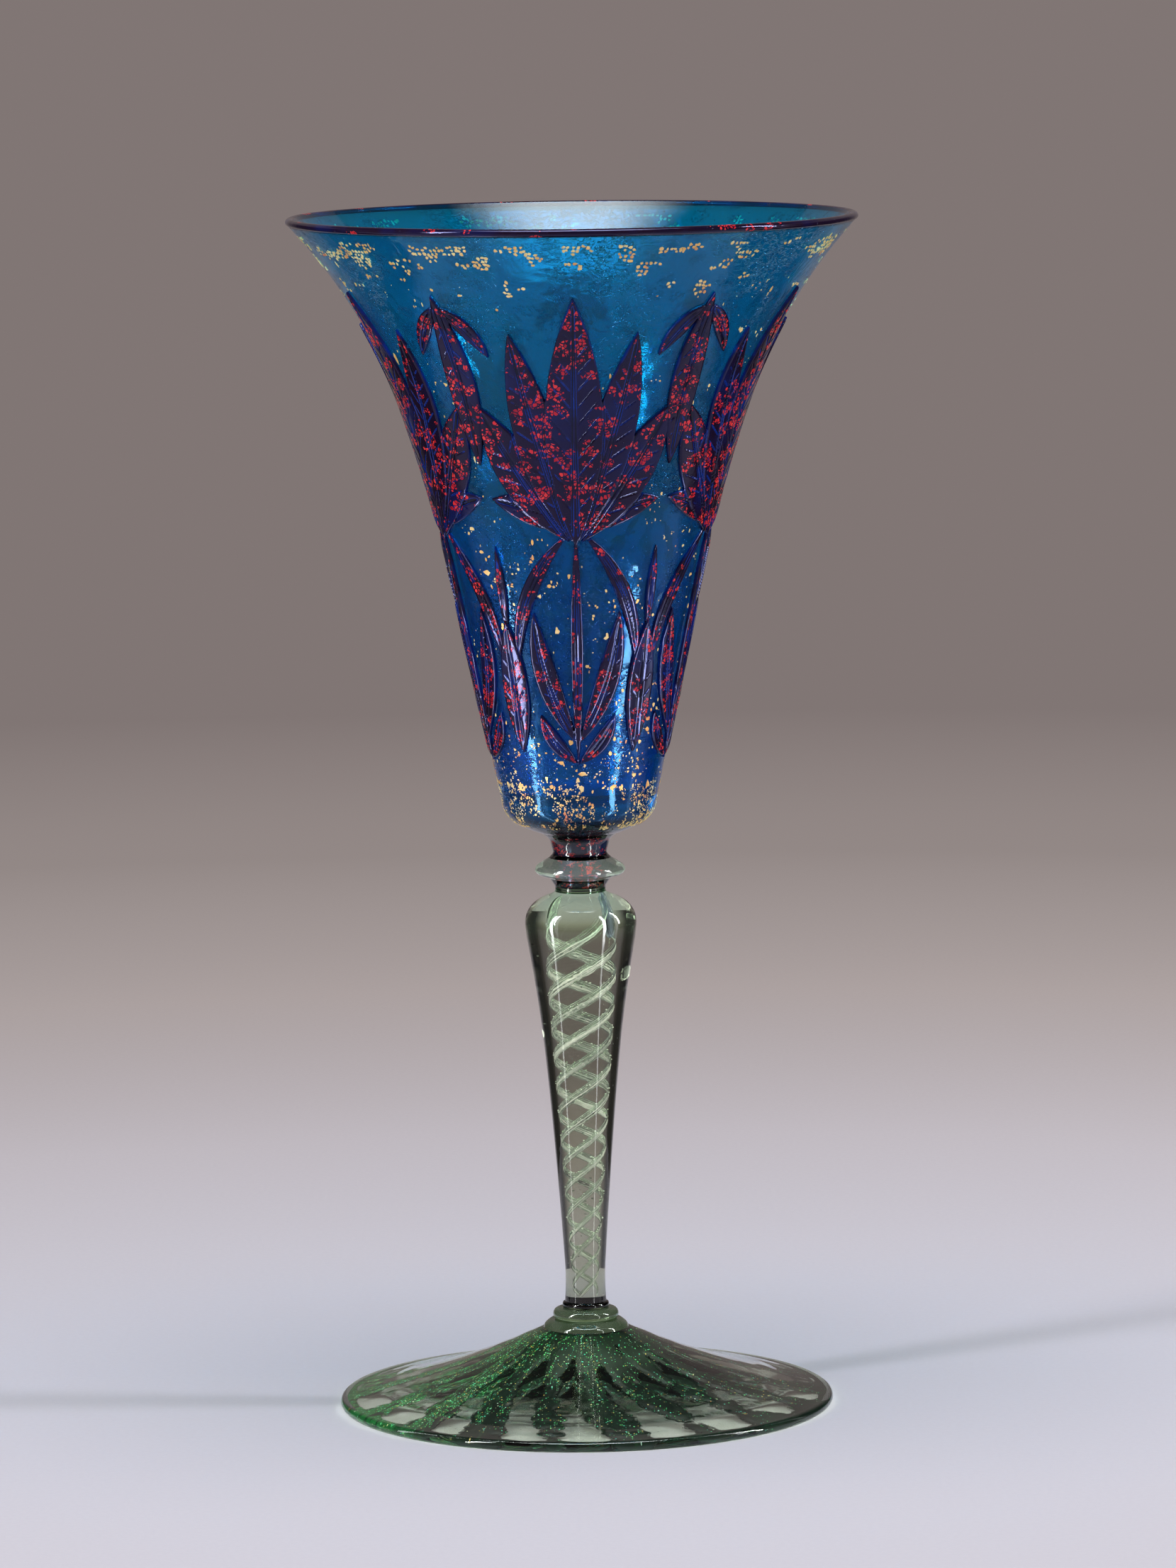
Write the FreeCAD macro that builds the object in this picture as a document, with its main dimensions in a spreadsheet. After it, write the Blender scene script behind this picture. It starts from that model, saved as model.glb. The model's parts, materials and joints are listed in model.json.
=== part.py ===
"""Etched wine glass: a cased flute bowl with a cameo frieze, a merese, an air twist stem and a ribbed foot.

Every piece is a gather or bit of glass of its own, and they meet face to face where they were joined hot.
The axis of the glass is Z, the foot rests on the plane Z = 0, and the front of the frieze looks along -Y.
"""
import FreeCAD, Part
import Sketcher
import math
import os
import re

DOC = FreeCAD.newDocument("EtchedWineGlass")
Vector = FreeCAD.Vector

# Driving sizes in millimetres, angles in degrees, shares and counts as plain numbers
SIZES = {
    # Foot: a shallow cone of clear glass over a ribbed layer full of glitter
    "foot_radius": 49.9,
    "foot_edge_height": 2.0,
    "foot_edge_bevel": 0.8,
    "foot_edge_bevel_share": 0.3,
    "foot_top_arc": 137.0,
    "foot_hub_radius": 8.6,
    "foot_hub_height": 15.6,
    "foot_rest_width": 2.4,
    "foot_hollow_height": 8.6,
    "foot_layer": 0.9,
    "pontil_radius": 7.4,
    "pontil_depth": 0.7,
    "rib_count": 18,
    "rib_start_radius": 11.5,
    "rib_end_radius": 44.5,
    "rib_start_width": 3.2,
    "rib_end_width": 7.0,
    "rib_start_height": 1.6,
    "rib_end_height": 0.65,
    "rib_crown_share": 0.45,
    "rib_root": 0.45,
    "rib_swirl": 5.0,
    # Bits between the foot and the stem
    "collar_height": 1.6,
    "collar_top_radius": 7.1,
    "collar_round": 2.4,
    "knop_height": 2.4,
    "knop_seat_radius": 6.1,
    "knop_top_radius": 4.9,
    "knop_round": 1.5,
    "ring_height": 1.3,
    "ring_radius": 4.6,
    "ring_round": 1.2,
    # Stem: an outer gather over an inner one whose twisted grooves hold air
    "stem_height": 83.5,
    "stem_foot_radius": 4.2,
    "stem_waist_radius": 4.0,
    "stem_waist_rise": 4.9,
    "stem_side_arc": 615.0,
    "stem_shoulder_radius": 11.2,
    "stem_shoulder_drop": 7.1,
    "stem_shoulder_arc": 6.9,
    "stem_top_radius": 4.95,
    "core_cover": 4.1,
    "core_foot_radius": 2.1,
    "core_top_radius": 5.5,
    "twist_foot_pitch": 13.5,
    "twist_top_pitch": 20.5,
    "thread_count": 3,
    "thread_first_angle": 78.0,
    "thread_half_angle": 12.0,
    "thread_depth_share": 0.27,
    "thread_start_length": 5.0,
    # Button, merese and post between the stem and the bowl
    "button_height": 2.6,
    "button_bead_height": 0.9,
    "button_bead_radius": 5.1,
    "button_bead_round": 0.7,
    "button_top_radius": 6.0,
    "merese_height": 4.2,
    "merese_edge_radius": 9.1,
    "merese_edge_rise": 1.75,
    "merese_edge_bevel": 0.45,
    "merese_edge_thickness": 1.3,
    "merese_foot_radius": 6.3,
    "merese_top_radius": 6.3,
    "merese_side_arc": 6.0,
    "post_height": 9.2,
    "post_radius": 5.4,
    "post_flare_rise": 4.2,
    "post_flare_arc": 4.6,
    # Bowl: a straight cone that flares to the lip, with a rounded base
    "bowl_height": 122.0,
    "bowl_seat_radius": 7.7,
    "bowl_bottom_radius": 12.2,
    "bowl_bottom_rise": 1.9,
    "bowl_base_radius": 15.5,
    "bowl_base_rise": 6.6,
    "bowl_base_round": 5.2,
    "cone_top_radius": 25.4,
    "cone_top_rise": 53.8,
    "lip_outer_radius": 56.1,
    "knee_turn_share": 0.554,
    "lip_turn_share": 2.48,
    "bowl_wall": 1.8,
    "bowl_floor_dip": 2.8,
    "lip_height": 1.8,
    "lip_overhang": 0.85,
    "lip_crest_setback": 0.35,
    "lip_bead_low_share": 0.3,
    "lip_bead_high_share": 0.7,
    # Cameo frieze: what the etching left of the dark overlay
    "relief_height": 0.7,
    "frieze_rise": 12.0,
    "frieze_height": 100.0,
    "frieze_repeats": 5,
    "motif_reach": 80.0,
}

# Sizes worked out from the driving ones
WORKED = {
    "rest_inner_radius": "foot_radius - foot_edge_bevel - foot_rest_width",
    "underside_slope": "foot_hollow_height / (rest_inner_radius - pontil_radius)",
    "rib_start_seat": "foot_layer + (rest_inner_radius - rib_start_radius) * underside_slope",
    "rib_end_seat": "foot_layer + (rest_inner_radius - rib_end_radius) * underside_slope",
    "knop_floor": "foot_hub_height + collar_height",
    "ring_floor": "knop_floor + knop_height",
    "stem_floor": "ring_floor + ring_height",
    "button_floor": "stem_floor + stem_height",
    "core_height": "stem_height - core_cover",
    "merese_floor": "button_floor + button_height",
    "bowl_floor": "merese_floor + post_height",
    "lip_floor": "bowl_floor + bowl_height",
    "wall_angle": "atan((cone_top_radius - bowl_base_radius) / (cone_top_rise - bowl_base_rise))",
    "flare_run": "lip_outer_radius - cone_top_radius",
    "flare_rise": "bowl_height - cone_top_rise",
    "flare_turn": "atan(flare_run / flare_rise) - wall_angle",
    "knee_angle": "wall_angle + flare_turn * knee_turn_share",
    "lip_angle": "wall_angle + flare_turn * lip_turn_share",
    "low_run": "cos(wall_angle) - cos(knee_angle)",
    "low_rise": "sin(knee_angle) - sin(wall_angle)",
    "high_run": "cos(knee_angle) - cos(lip_angle)",
    "high_rise": "sin(lip_angle) - sin(knee_angle)",
    "flare_scale": "low_run * high_rise - high_run * low_rise",
    "low_flare_arc": "(flare_run * high_rise - high_run * flare_rise) / flare_scale",
    "high_flare_arc": "(low_run * flare_rise - low_rise * flare_run) / flare_scale",
    "knee_radius": "cone_top_radius + low_flare_arc * low_run",
    "knee_rise": "cone_top_rise + low_flare_arc * low_rise",
    "lip_inner_radius": "lip_outer_radius - bowl_wall * cos(lip_angle)",
}

# Leaves of the two motifs. The first four shares place root and tip, each across and up. Across is a
# share of the lip's radius, and up a share of the frieze's height. The last two are the bulges of the
# left and right edge, as seen from root to tip, as shares of the lip's radius.
FLOWER_LEAF_SHARES = (
    (0.000, 0.480, 0.000, 0.980, 0.100, 0.100),
    (0.012, 0.490, 0.225, 0.910, 0.060, 0.085),
    (0.020, 0.490, 0.330, 0.760, 0.060, 0.085),
    (0.020, 0.510, 0.290, 0.575, 0.065, 0.030),
    (0.020, 0.510, 0.200, 0.240, 0.085, -0.030),
    (0.000, 0.030, 0.000, 0.520, 0.021, 0.021),
    (0.000, 0.080, 0.150, 0.350, 0.008, 0.070),
    (0.000, 0.040, 0.130, 0.140, 0.008, 0.045),
)
BUD_LEAF_SHARES = (
    (0.000, 0.985, 0.000, 0.640, 0.058, 0.058),
    (0.000, 0.960, 0.140, 0.860, 0.050, 0.010),
    (0.000, 0.060, 0.000, 0.330, 0.052, 0.052),
    (0.000, 0.300, 0.000, 0.480, 0.018, 0.018),
)

# The radius of an arc from its chord and its rise
ARC_OF_RISE = "({chord}) * ({chord}) / (8 * ({rise})) + ({rise}) / 2"
# Levels of the twisted core in one turn, chords of its round between two grooves, and what is left of a
# groove's depth where it runs out
STEPS_PER_TURN = 14
FREE_STEPS = 3
LEAST_DEPTH = 0.04
WORD = re.compile(r"[a-z_][a-z_0-9]*")


def formula(text):
    """The text with the sheet's name put before each size in it."""

    def place(match):
        word = match.group()
        if word in SIZES:
            return "Sizes." + word
        if word in WORKED:
            return "Worked." + word
        return word

    return WORD.sub(place, str(text))


def make_sheets():
    """The sheet of driving sizes and the sheet of what follows from them."""
    sizes = DOC.addObject("Spreadsheet::Sheet", "Sizes")
    for row, (alias, number) in enumerate(SIZES.items(), start=1):
        sizes.set(f"A{row}", alias)
        sizes.set(f"B{row}", str(number))
        sizes.setAlias(f"B{row}", alias)
    worked = DOC.addObject("Spreadsheet::Sheet", "Worked")
    for row, (alias, text) in enumerate(WORKED.items(), start=1):
        worked.set(f"A{row}", alias)
        worked.setAlias(f"B{row}", alias)
        worked.set(f"B{row}", "=" + formula(text))
    DOC.recompute()
    return sizes


def size(text):
    """The number that a formula of sizes gives now."""
    result = SHEET.evalExpression(formula(text))
    return float(getattr(result, "Value", result))


def origin_plane(body, role):
    """A plane of the body's own origin."""
    return next(part for part in body.Origin.OriginFeatures if part.Role == role)


def make_body(label):
    """A body that holds one piece of glass."""
    body = DOC.addObject("PartDesign::Body", label)
    body.Label = label
    return body


def arc_middle(start, end, radius, side):
    """The middle of an arc between two points that bulges to the left (side 1) or right (side -1)."""
    chord = end - start
    half = chord.Length / 2
    rise = radius - math.sqrt(max(radius * radius - half * half, 0))
    normal = Vector(-chord.y, chord.x, 0).normalize()
    return (start + end) / 2 + normal * side * rise


def add_outline(sketch, corners, arcs):
    """Draws a closed outline with each corner and radius bound to a formula.

    corners lists (across, up) formulas. arcs maps the number of the corner that an arc starts at to its
    radius formula and the side it bulges to, and the other edges are straight.
    """
    points = [Vector(size(across), size(up), 0) for across, up in corners]
    edges = []
    for number, start in enumerate(points):
        end = points[(number + 1) % len(points)]
        if number in arcs:
            radius, side = arcs[number]
            curve = Part.Arc(start, arc_middle(start, end, size(radius), side), end)
        else:
            curve = Part.LineSegment(start, end)
        edges.append(sketch.addGeometry(curve, False))
    first_ends = []
    last_ends = []
    for number, edge in enumerate(edges):
        forward = sketch.getPoint(edge, 1).distanceToPoint(points[number])
        backward = sketch.getPoint(edge, 2).distanceToPoint(points[number])
        first_ends.append(1 if forward < backward else 2)
        last_ends.append(2 if forward < backward else 1)
    for number, edge in enumerate(edges):
        previous = number - 1
        sketch.addConstraint(Sketcher.Constraint(
            "Coincident", edges[previous], last_ends[previous], edge, first_ends[number]))
        across, up = corners[number]
        pin_corner(sketch, edge, first_ends[number], "DistanceX", across, points[number].x)
        pin_corner(sketch, edge, first_ends[number], "DistanceY", up, points[number].y)
    for number, (radius, _side) in arcs.items():
        index = sketch.addConstraint(Sketcher.Constraint("Radius", edges[number], size(radius)))
        sketch.setExpression(f"Constraints[{index}]", formula(radius))


def pin_corner(sketch, edge, end, kind, text, number):
    """Holds one coordinate of a corner at a formula, or on the sketch's axis where it is zero."""
    if text == "0":
        axis = -2 if kind == "DistanceX" else -1
        sketch.addConstraint(Sketcher.Constraint("PointOnObject", edge, end, axis))
        return
    index = sketch.addConstraint(Sketcher.Constraint(kind, -1, 1, edge, end, number))
    sketch.setExpression(f"Constraints[{index}]", formula(text))


def make_sketch(body, name, role, corners, arcs=None):
    """A sketch on a plane of the body's origin that holds one closed outline."""
    sketch = body.newObject("Sketcher::SketchObject", name)
    sketch.AttachmentSupport = [(origin_plane(body, role), "")]
    sketch.MapMode = "FlatFace"
    add_outline(sketch, corners, arcs or {})
    return sketch


def turn(label, corners, arcs=None):
    """A body turned about Z from one outline of (radius, height) corners."""
    body = make_body(label)
    sketch = make_sketch(body, label + "_outline", "XZ_Plane", corners, arcs)
    turned = body.newObject("PartDesign::Revolution", label + "_turned")
    turned.Profile = (sketch, [""])
    turned.ReferenceAxis = (sketch, ["V_Axis"])
    turned.Angle = 360
    return body


def wall_line(offset):
    """The bowl wall's corners from base to lip, moved out by an offset, as (radius, height) formulas."""
    places = (
        ("bowl_base_radius", "bowl_base_rise", "wall_angle"),
        ("cone_top_radius", "cone_top_rise", "wall_angle"),
        ("knee_radius", "knee_rise", "knee_angle"),
        ("lip_outer_radius", "bowl_height", "lip_angle"),
    )
    return [
        (f"{radius} + ({offset}) * cos({angle})", f"bowl_floor + {rise} - ({offset}) * sin({angle})")
        for radius, rise, angle in places
    ]


def make_foot():
    """The glitter layer with its swirled ribs, and the clear gather that covers it."""
    layer = turn(
        "foot_aventurine",
        [
            ("0", "foot_hollow_height + pontil_depth"),
            ("pontil_radius", "foot_hollow_height"),
            ("rest_inner_radius", "0"),
            ("rest_inner_radius", "foot_layer"),
            ("pontil_radius", "foot_hollow_height + foot_layer"),
            ("0", "foot_hollow_height + foot_layer + pontil_depth"),
        ],
        {0: (ARC_OF_RISE.format(chord="2 * pontil_radius", rise="pontil_depth"), 1)},
    )
    sections = []
    for end, shift in (("start", "0 * rib_swirl"), ("end", "rib_swirl")):
        half = f"rib_{end}_width / 2"
        seat = f"rib_{end}_seat - rib_root"
        crown = f"rib_{end}_seat + rib_{end}_height"
        section = make_sketch(
            layer,
            f"rib_{end}",
            "YZ_Plane",
            [
                (f"{shift} - {half}", seat),
                (f"{shift} + {half}", seat),
                (f"{shift} + {half} * rib_crown_share", crown),
                (f"{shift} - {half} * rib_crown_share", crown),
            ],
        )
        section.setExpression("AttachmentOffset.Base.z", formula(f"rib_{end}_radius"))
        sections.append(section)
    rib = layer.newObject("PartDesign::AdditiveLoft", "rib")
    rib.Profile = (sections[0], [""])
    rib.Sections = [(sections[1], [""])]
    rib.Ruled = True
    DOC.recompute()
    ribs = layer.newObject("PartDesign::PolarPattern", "ribs")
    ribs.Originals = [rib]
    ribs.Axis = (next(part for part in layer.Origin.OriginFeatures if part.Role == "Z_Axis"), [""])
    ribs.Angle = 360
    ribs.setExpression("Occurrences", formula("rib_count"))
    layer.Tip = ribs

    blank = turn(
        "foot_casing_blank",
        [
            ("0", "foot_hollow_height + foot_layer + pontil_depth"),
            ("pontil_radius", "foot_hollow_height + foot_layer"),
            ("rest_inner_radius", "foot_layer"),
            ("rest_inner_radius", "0"),
            ("foot_radius - foot_edge_bevel", "0"),
            ("foot_radius", "foot_edge_height * foot_edge_bevel_share"),
            ("foot_radius", "foot_edge_height * (1 - foot_edge_bevel_share)"),
            ("foot_radius - foot_edge_bevel", "foot_edge_height"),
            ("foot_hub_radius", "foot_hub_height"),
            ("0", "foot_hub_height"),
        ],
        {7: ("foot_top_arc", 1)},
    )
    casing = DOC.addObject("Part::Cut", "foot_casing")
    casing.Base = blank
    casing.Tool = layer
    casing.Label = "foot_casing"
    return [layer, casing]


def make_stem_seat():
    """The collar, knop and ring that join the stem to the foot."""
    collar = turn(
        "foot_collar",
        [
            ("0", "foot_hub_height"),
            ("foot_hub_radius", "foot_hub_height"),
            ("collar_top_radius", "knop_floor"),
            ("0", "knop_floor"),
        ],
        {1: ("collar_round", -1)},
    )
    knop = turn(
        "foot_knop",
        [
            ("0", "knop_floor"),
            ("knop_seat_radius", "knop_floor"),
            ("knop_top_radius", "ring_floor"),
            ("0", "ring_floor"),
        ],
        {1: ("knop_round", -1)},
    )
    ring = turn(
        "stem_ring",
        [
            ("0", "ring_floor"),
            ("ring_radius", "ring_floor"),
            ("stem_foot_radius", "stem_floor"),
            ("0", "stem_floor"),
        ],
        {1: ("ring_round", -1)},
    )
    return [collar, knop, ring]


def make_stem_casing():
    """The outer gather: a slender baluster with a round shoulder and a blind bore for the core."""
    return turn(
        "stem_casing",
        [
            ("core_foot_radius", "stem_floor"),
            ("stem_foot_radius", "stem_floor"),
            ("stem_waist_radius", "stem_floor + stem_waist_rise"),
            ("stem_shoulder_radius", "button_floor - stem_shoulder_drop"),
            ("stem_top_radius", "button_floor"),
            ("0", "button_floor"),
            ("0", "stem_floor + core_height"),
            ("core_top_radius", "stem_floor + core_height"),
        ],
        {2: ("stem_side_arc", 1), 3: ("stem_shoulder_arc", -1)},
    )


def notched_round(radius, depth, twist):
    """One level of the core, as (across, along) pairs: a round with evenly spaced notches."""
    count = int(size("thread_count"))
    lip = size("thread_half_angle")
    share_of_turn = 360 / count
    free = share_of_turn - 2 * lip
    notch = [(-lip, 0), (0, depth), (lip, 0)]
    notch += [(lip + free * step / FREE_STEPS, 0) for step in range(1, FREE_STEPS)]
    outline = []
    for number in range(count):
        for angle, cut in notch:
            around = math.radians(twist + number * share_of_turn + angle)
            reach = radius - cut
            outline.append((reach * math.cos(around), reach * math.sin(around)))
    return outline


def core_levels():
    """The core's levels from foot to top, each a ring of points.

    Each level is the same notched round, turned on by 360 degrees for each local pitch. The pitch and
    the radius both grow from the foot to the top, where the grooves run out as the air's teardrops.
    """
    floor, height = size("stem_floor"), size("core_height")
    low_radius, top_radius = size("core_foot_radius"), size("core_top_radius")
    low_pitch, top_pitch = size("twist_foot_pitch"), size("twist_top_pitch")
    mean_pitch = (low_pitch + top_pitch) / 2
    levels = math.ceil(STEPS_PER_TURN * height / mean_pitch)
    twist = size("thread_first_angle")
    rings = []
    for level in range(levels + 1):
        share = level / levels
        radius = low_radius + (top_radius - low_radius) * share
        run_out = min((1 - share) * height / size("thread_start_length"), 1)
        depth = radius * size("thread_depth_share") * (LEAST_DEPTH + (1 - LEAST_DEPTH) * math.sqrt(run_out))
        rings.append([Vector(x, y, floor + share * height) for x, y in notched_round(radius, depth, twist)])
        pitch = low_pitch + (top_pitch - low_pitch) * (level + 0.5) / levels
        twist += 360 * height / levels / pitch
    return rings


def make_stem_core():
    """The inner gather: a tapered core with helical air grooves, drawn finer towards the foot."""
    rings = core_levels()
    faces = []
    for low, high in zip(rings, rings[1:]):
        for place, start in enumerate(low):
            after = (place + 1) % len(low)
            faces.append(three_cornered(start, low[after], high[after]))
            faces.append(three_cornered(start, high[after], high[place]))
    for ring in (rings[0], rings[-1]):
        faces.append(Part.Face(Part.makePolygon(ring + ring[:1])))
    core = DOC.addObject("Part::Feature", "stem_core")
    core.Shape = Part.makeSolid(Part.makeShell(faces))
    core.Label = "stem_core"
    return core


def three_cornered(first, second, third):
    """A flat face on three points."""
    return Part.Face(Part.makePolygon([first, second, third, first]))


def make_neck():
    """The button, the merese round the post, and the post that carries the bowl."""
    button = turn(
        "neck_button",
        [
            ("0", "button_floor"),
            ("stem_top_radius", "button_floor"),
            ("button_bead_radius", "button_floor + button_bead_height"),
            ("button_top_radius", "merese_floor"),
            ("0", "merese_floor"),
        ],
        {1: ("button_bead_round", -1)},
    )
    merese = turn(
        "merese",
        [
            ("post_radius", "merese_floor"),
            ("merese_foot_radius", "merese_floor"),
            ("merese_edge_radius - merese_edge_bevel",
             "merese_floor + merese_edge_rise - merese_edge_thickness / 2"),
            ("merese_edge_radius", "merese_floor + merese_edge_rise"),
            ("merese_edge_radius - merese_edge_bevel",
             "merese_floor + merese_edge_rise + merese_edge_thickness / 2"),
            ("merese_top_radius", "merese_floor + merese_height"),
            ("post_radius", "merese_floor + merese_height"),
        ],
        {1: ("merese_side_arc", 1), 4: ("merese_side_arc", 1)},
    )
    post = turn(
        "bowl_post",
        [
            ("0", "merese_floor"),
            ("post_radius", "merese_floor"),
            ("post_radius", "bowl_floor - post_flare_rise"),
            ("bowl_seat_radius", "bowl_floor"),
            ("0", "bowl_floor"),
        ],
        {2: ("post_flare_arc", 1)},
    )
    return [button, merese, post]


def make_bowl():
    """The teal cup, open at the lip, and the dark thread wound round its lip."""
    outer = wall_line("0")
    inner = wall_line("-bowl_wall")
    dip_radius, dip_height = inner[0]
    corners = [
        ("0", "bowl_floor"),
        ("bowl_seat_radius", "bowl_floor"),
        ("bowl_bottom_radius", "bowl_floor + bowl_bottom_rise"),
        *outer,
        *reversed(inner),
        ("0", f"{dip_height} - bowl_floor_dip"),
    ]
    arcs = {
        2: ("bowl_base_round", -1),
        4: ("low_flare_arc", 1),
        5: ("high_flare_arc", 1),
        7: ("high_flare_arc + bowl_wall", -1),
        8: ("low_flare_arc + bowl_wall", -1),
        10: (ARC_OF_RISE.format(chord=f"2 * ({dip_radius})", rise="bowl_floor_dip"), 1),
    }
    cup = turn("bowl_cup", corners, arcs)
    lip = turn(
        "lip_wrap",
        [
            ("lip_inner_radius", "lip_floor + bowl_wall * sin(lip_angle)"),
            ("lip_outer_radius", "lip_floor"),
            ("lip_outer_radius + lip_overhang", "lip_floor + lip_height * lip_bead_low_share"),
            ("lip_outer_radius + lip_overhang", "lip_floor + lip_height * lip_bead_high_share"),
            ("lip_outer_radius - lip_crest_setback", "lip_floor + lip_height"),
        ],
    )
    return [cup, lip]


def leaf_corners(shares, mirrored):
    """The corner and arc formulas of one leaf, drawn on either side of the motif's middle line."""
    root_across, root_up, tip_across, tip_up, left, right = shares
    side = -1 if mirrored else 1
    if mirrored:
        left, right = right, left
    across = f"lip_outer_radius * {side * (tip_across - root_across)}"
    up = f"frieze_height * {tip_up - root_up}"
    base = "bowl_floor + frieze_rise"
    corners = [
        (f"lip_outer_radius * {side * root_across}" if root_across else "0",
         f"{base} + frieze_height * {root_up}"),
        (f"lip_outer_radius * {side * tip_across}" if tip_across else "0",
         f"{base} + frieze_height * {tip_up}"),
    ]
    chord = f"sqrt(({across}) * ({across}) + ({up}) * ({up}))"
    arcs = {}
    for edge, bulge in enumerate((left, right)):
        radius = ARC_OF_RISE.format(chord=chord, rise=f"lip_outer_radius * {abs(bulge)}")
        arcs[edge] = (radius, 1 if bulge > 0 else -1)
    return corners, arcs


def make_motif(label, leaf_shares):
    """Prisms on the outlines of a motif's leaves, which run from the axis out through the front."""
    body = make_body(label)
    for number, shares in enumerate(leaf_shares, start=1):
        sides = (False, True) if shares[0] or shares[2] else (False,)
        for mirrored in sides:
            corners, arcs = leaf_corners(shares, mirrored)
            name = f"{label}_leaf_{number}{'_left' if mirrored else ''}"
            sketch = make_sketch(body, name, "XZ_Plane", corners, arcs)
            prism = body.newObject("PartDesign::Pad", name + "_pad")
            prism.Profile = (sketch, [""])
            prism.UseCustomVector = True
            prism.Direction = Vector(0, -1, 0)
            prism.setExpression("Length", formula("motif_reach"))
    return body


def make_cameo():
    """The frieze: the dark overlay's skin kept only where a motif's prisms pass through it."""
    ground = wall_line("0")
    skin = wall_line("relief_height")
    overlay = turn(
        "overlay_skin",
        [*skin, *reversed(ground)],
        {
            1: ("low_flare_arc - relief_height", 1),
            2: ("high_flare_arc - relief_height", 1),
            4: ("high_flare_arc", -1),
            5: ("low_flare_arc", -1),
        },
    )
    kept = []
    for label, leaf_shares in (("flower", FLOWER_LEAF_SHARES), ("bud", BUD_LEAF_SHARES)):
        common = DOC.addObject("Part::Common", label + "_relief")
        common.Base = overlay
        common.Tool = make_motif(label + "_motif", leaf_shares)
        kept.append(common)
    DOC.recompute()
    repeats = round(size("frieze_repeats"))
    sector = 360 / repeats
    copies = []
    for repeat in range(repeats):
        for place, relief in enumerate(kept):
            for solid in relief.Shape.Solids:
                copy = solid.copy()
                copy.rotate(Vector(0, 0, 0), Vector(0, 0, 1), sector * (repeat + place / len(kept)))
                copies.append(copy)
    cameo = DOC.addObject("Part::Feature", "cameo_overlay")
    cameo.Shape = Part.makeCompound(copies)
    cameo.Label = "cameo_overlay"
    return cameo


def check_document(pieces):
    """Stops the build where an object failed or a piece isn't whole."""
    for item in DOC.Objects:
        if {"Invalid", "Error"} & set(item.State):
            raise RuntimeError(f"{item.Label} failed: {item.State}")
    for piece in pieces:
        if piece.Shape.isNull() or not piece.Shape.isValid() or not piece.Shape.Solids:
            raise RuntimeError(f"{piece.Label} has no valid solid")


def export_pieces(pieces):
    """Writes each piece to a file with its own name."""
    os.makedirs("parts", exist_ok=True)
    for piece in pieces:
        piece.Shape.exportStep(f"parts/{piece.Label}.step")
        shape = piece.Shape
        print(piece.Label, len(shape.Solids), "solids", round(shape.Volume, 1), "mm3")


SHEET = make_sheets()
PIECES = [
    *make_foot(),
    *make_stem_seat(),
    make_stem_casing(),
    make_stem_core(),
    *make_neck(),
    *make_bowl(),
    make_cameo(),
]
DOC.recompute()
check_document(PIECES)
export_pieces(PIECES)
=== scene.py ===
"""Etched wine glass, dressed for the camera.

A teal cup carries a cameo frieze of dark ruby glass with metal leaf under it, a ruby post runs into a pale
merese, and an air twist stem stands on a foot with bands of glitter. Shapes are worked out in millimetres as
whole arrays and go into their meshes in metres. The axis is Z and the front of the frieze looks along -Y.
"""

import json
import logging
import math
from dataclasses import dataclass
from enum import Enum
from typing import Callable

import bpy
import numpy as np
from mathutils import Matrix, Vector

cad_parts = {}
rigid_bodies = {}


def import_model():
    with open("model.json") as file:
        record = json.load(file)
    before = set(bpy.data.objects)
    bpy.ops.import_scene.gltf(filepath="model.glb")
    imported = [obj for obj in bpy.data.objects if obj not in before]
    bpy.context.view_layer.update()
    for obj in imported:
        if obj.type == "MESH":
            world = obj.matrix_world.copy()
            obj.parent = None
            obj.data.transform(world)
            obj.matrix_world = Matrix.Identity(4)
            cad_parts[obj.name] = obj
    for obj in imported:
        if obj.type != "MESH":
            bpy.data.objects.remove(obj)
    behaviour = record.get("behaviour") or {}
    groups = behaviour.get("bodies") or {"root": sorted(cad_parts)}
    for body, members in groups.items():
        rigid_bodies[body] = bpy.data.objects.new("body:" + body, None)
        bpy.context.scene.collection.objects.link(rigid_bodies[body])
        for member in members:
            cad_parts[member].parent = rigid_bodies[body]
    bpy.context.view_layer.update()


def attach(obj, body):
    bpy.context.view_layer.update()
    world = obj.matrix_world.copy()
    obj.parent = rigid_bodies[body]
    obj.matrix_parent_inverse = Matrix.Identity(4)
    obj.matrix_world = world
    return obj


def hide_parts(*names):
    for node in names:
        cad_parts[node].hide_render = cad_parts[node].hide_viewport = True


LOG = logging.getLogger("wine_glass")
MM = 0.001
FULL_TURN = 2 * math.pi
GLASS_INDEX = 1.5
TONE_SPAN = (0.3, 0.7)
Array = np.ndarray
Colour = tuple[float, float, float]
Pair = tuple[float, float]
Groups = list[tuple[np.ndarray, int]]
Socket = bpy.types.NodeSocket
Node = bpy.types.Node
NodeTree = bpy.types.NodeTree
Material = bpy.types.Material
Thing = bpy.types.Object


class Slot(Enum):
    """The record's material slots."""

    TEAL = "teal_glass"
    RUBY = "ruby_cobalt_glass"
    PALE = "pale_green_glass"
    STEM = "stem_glass"
    GLITTER = "aventurine_glass"


# Meshes


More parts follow.
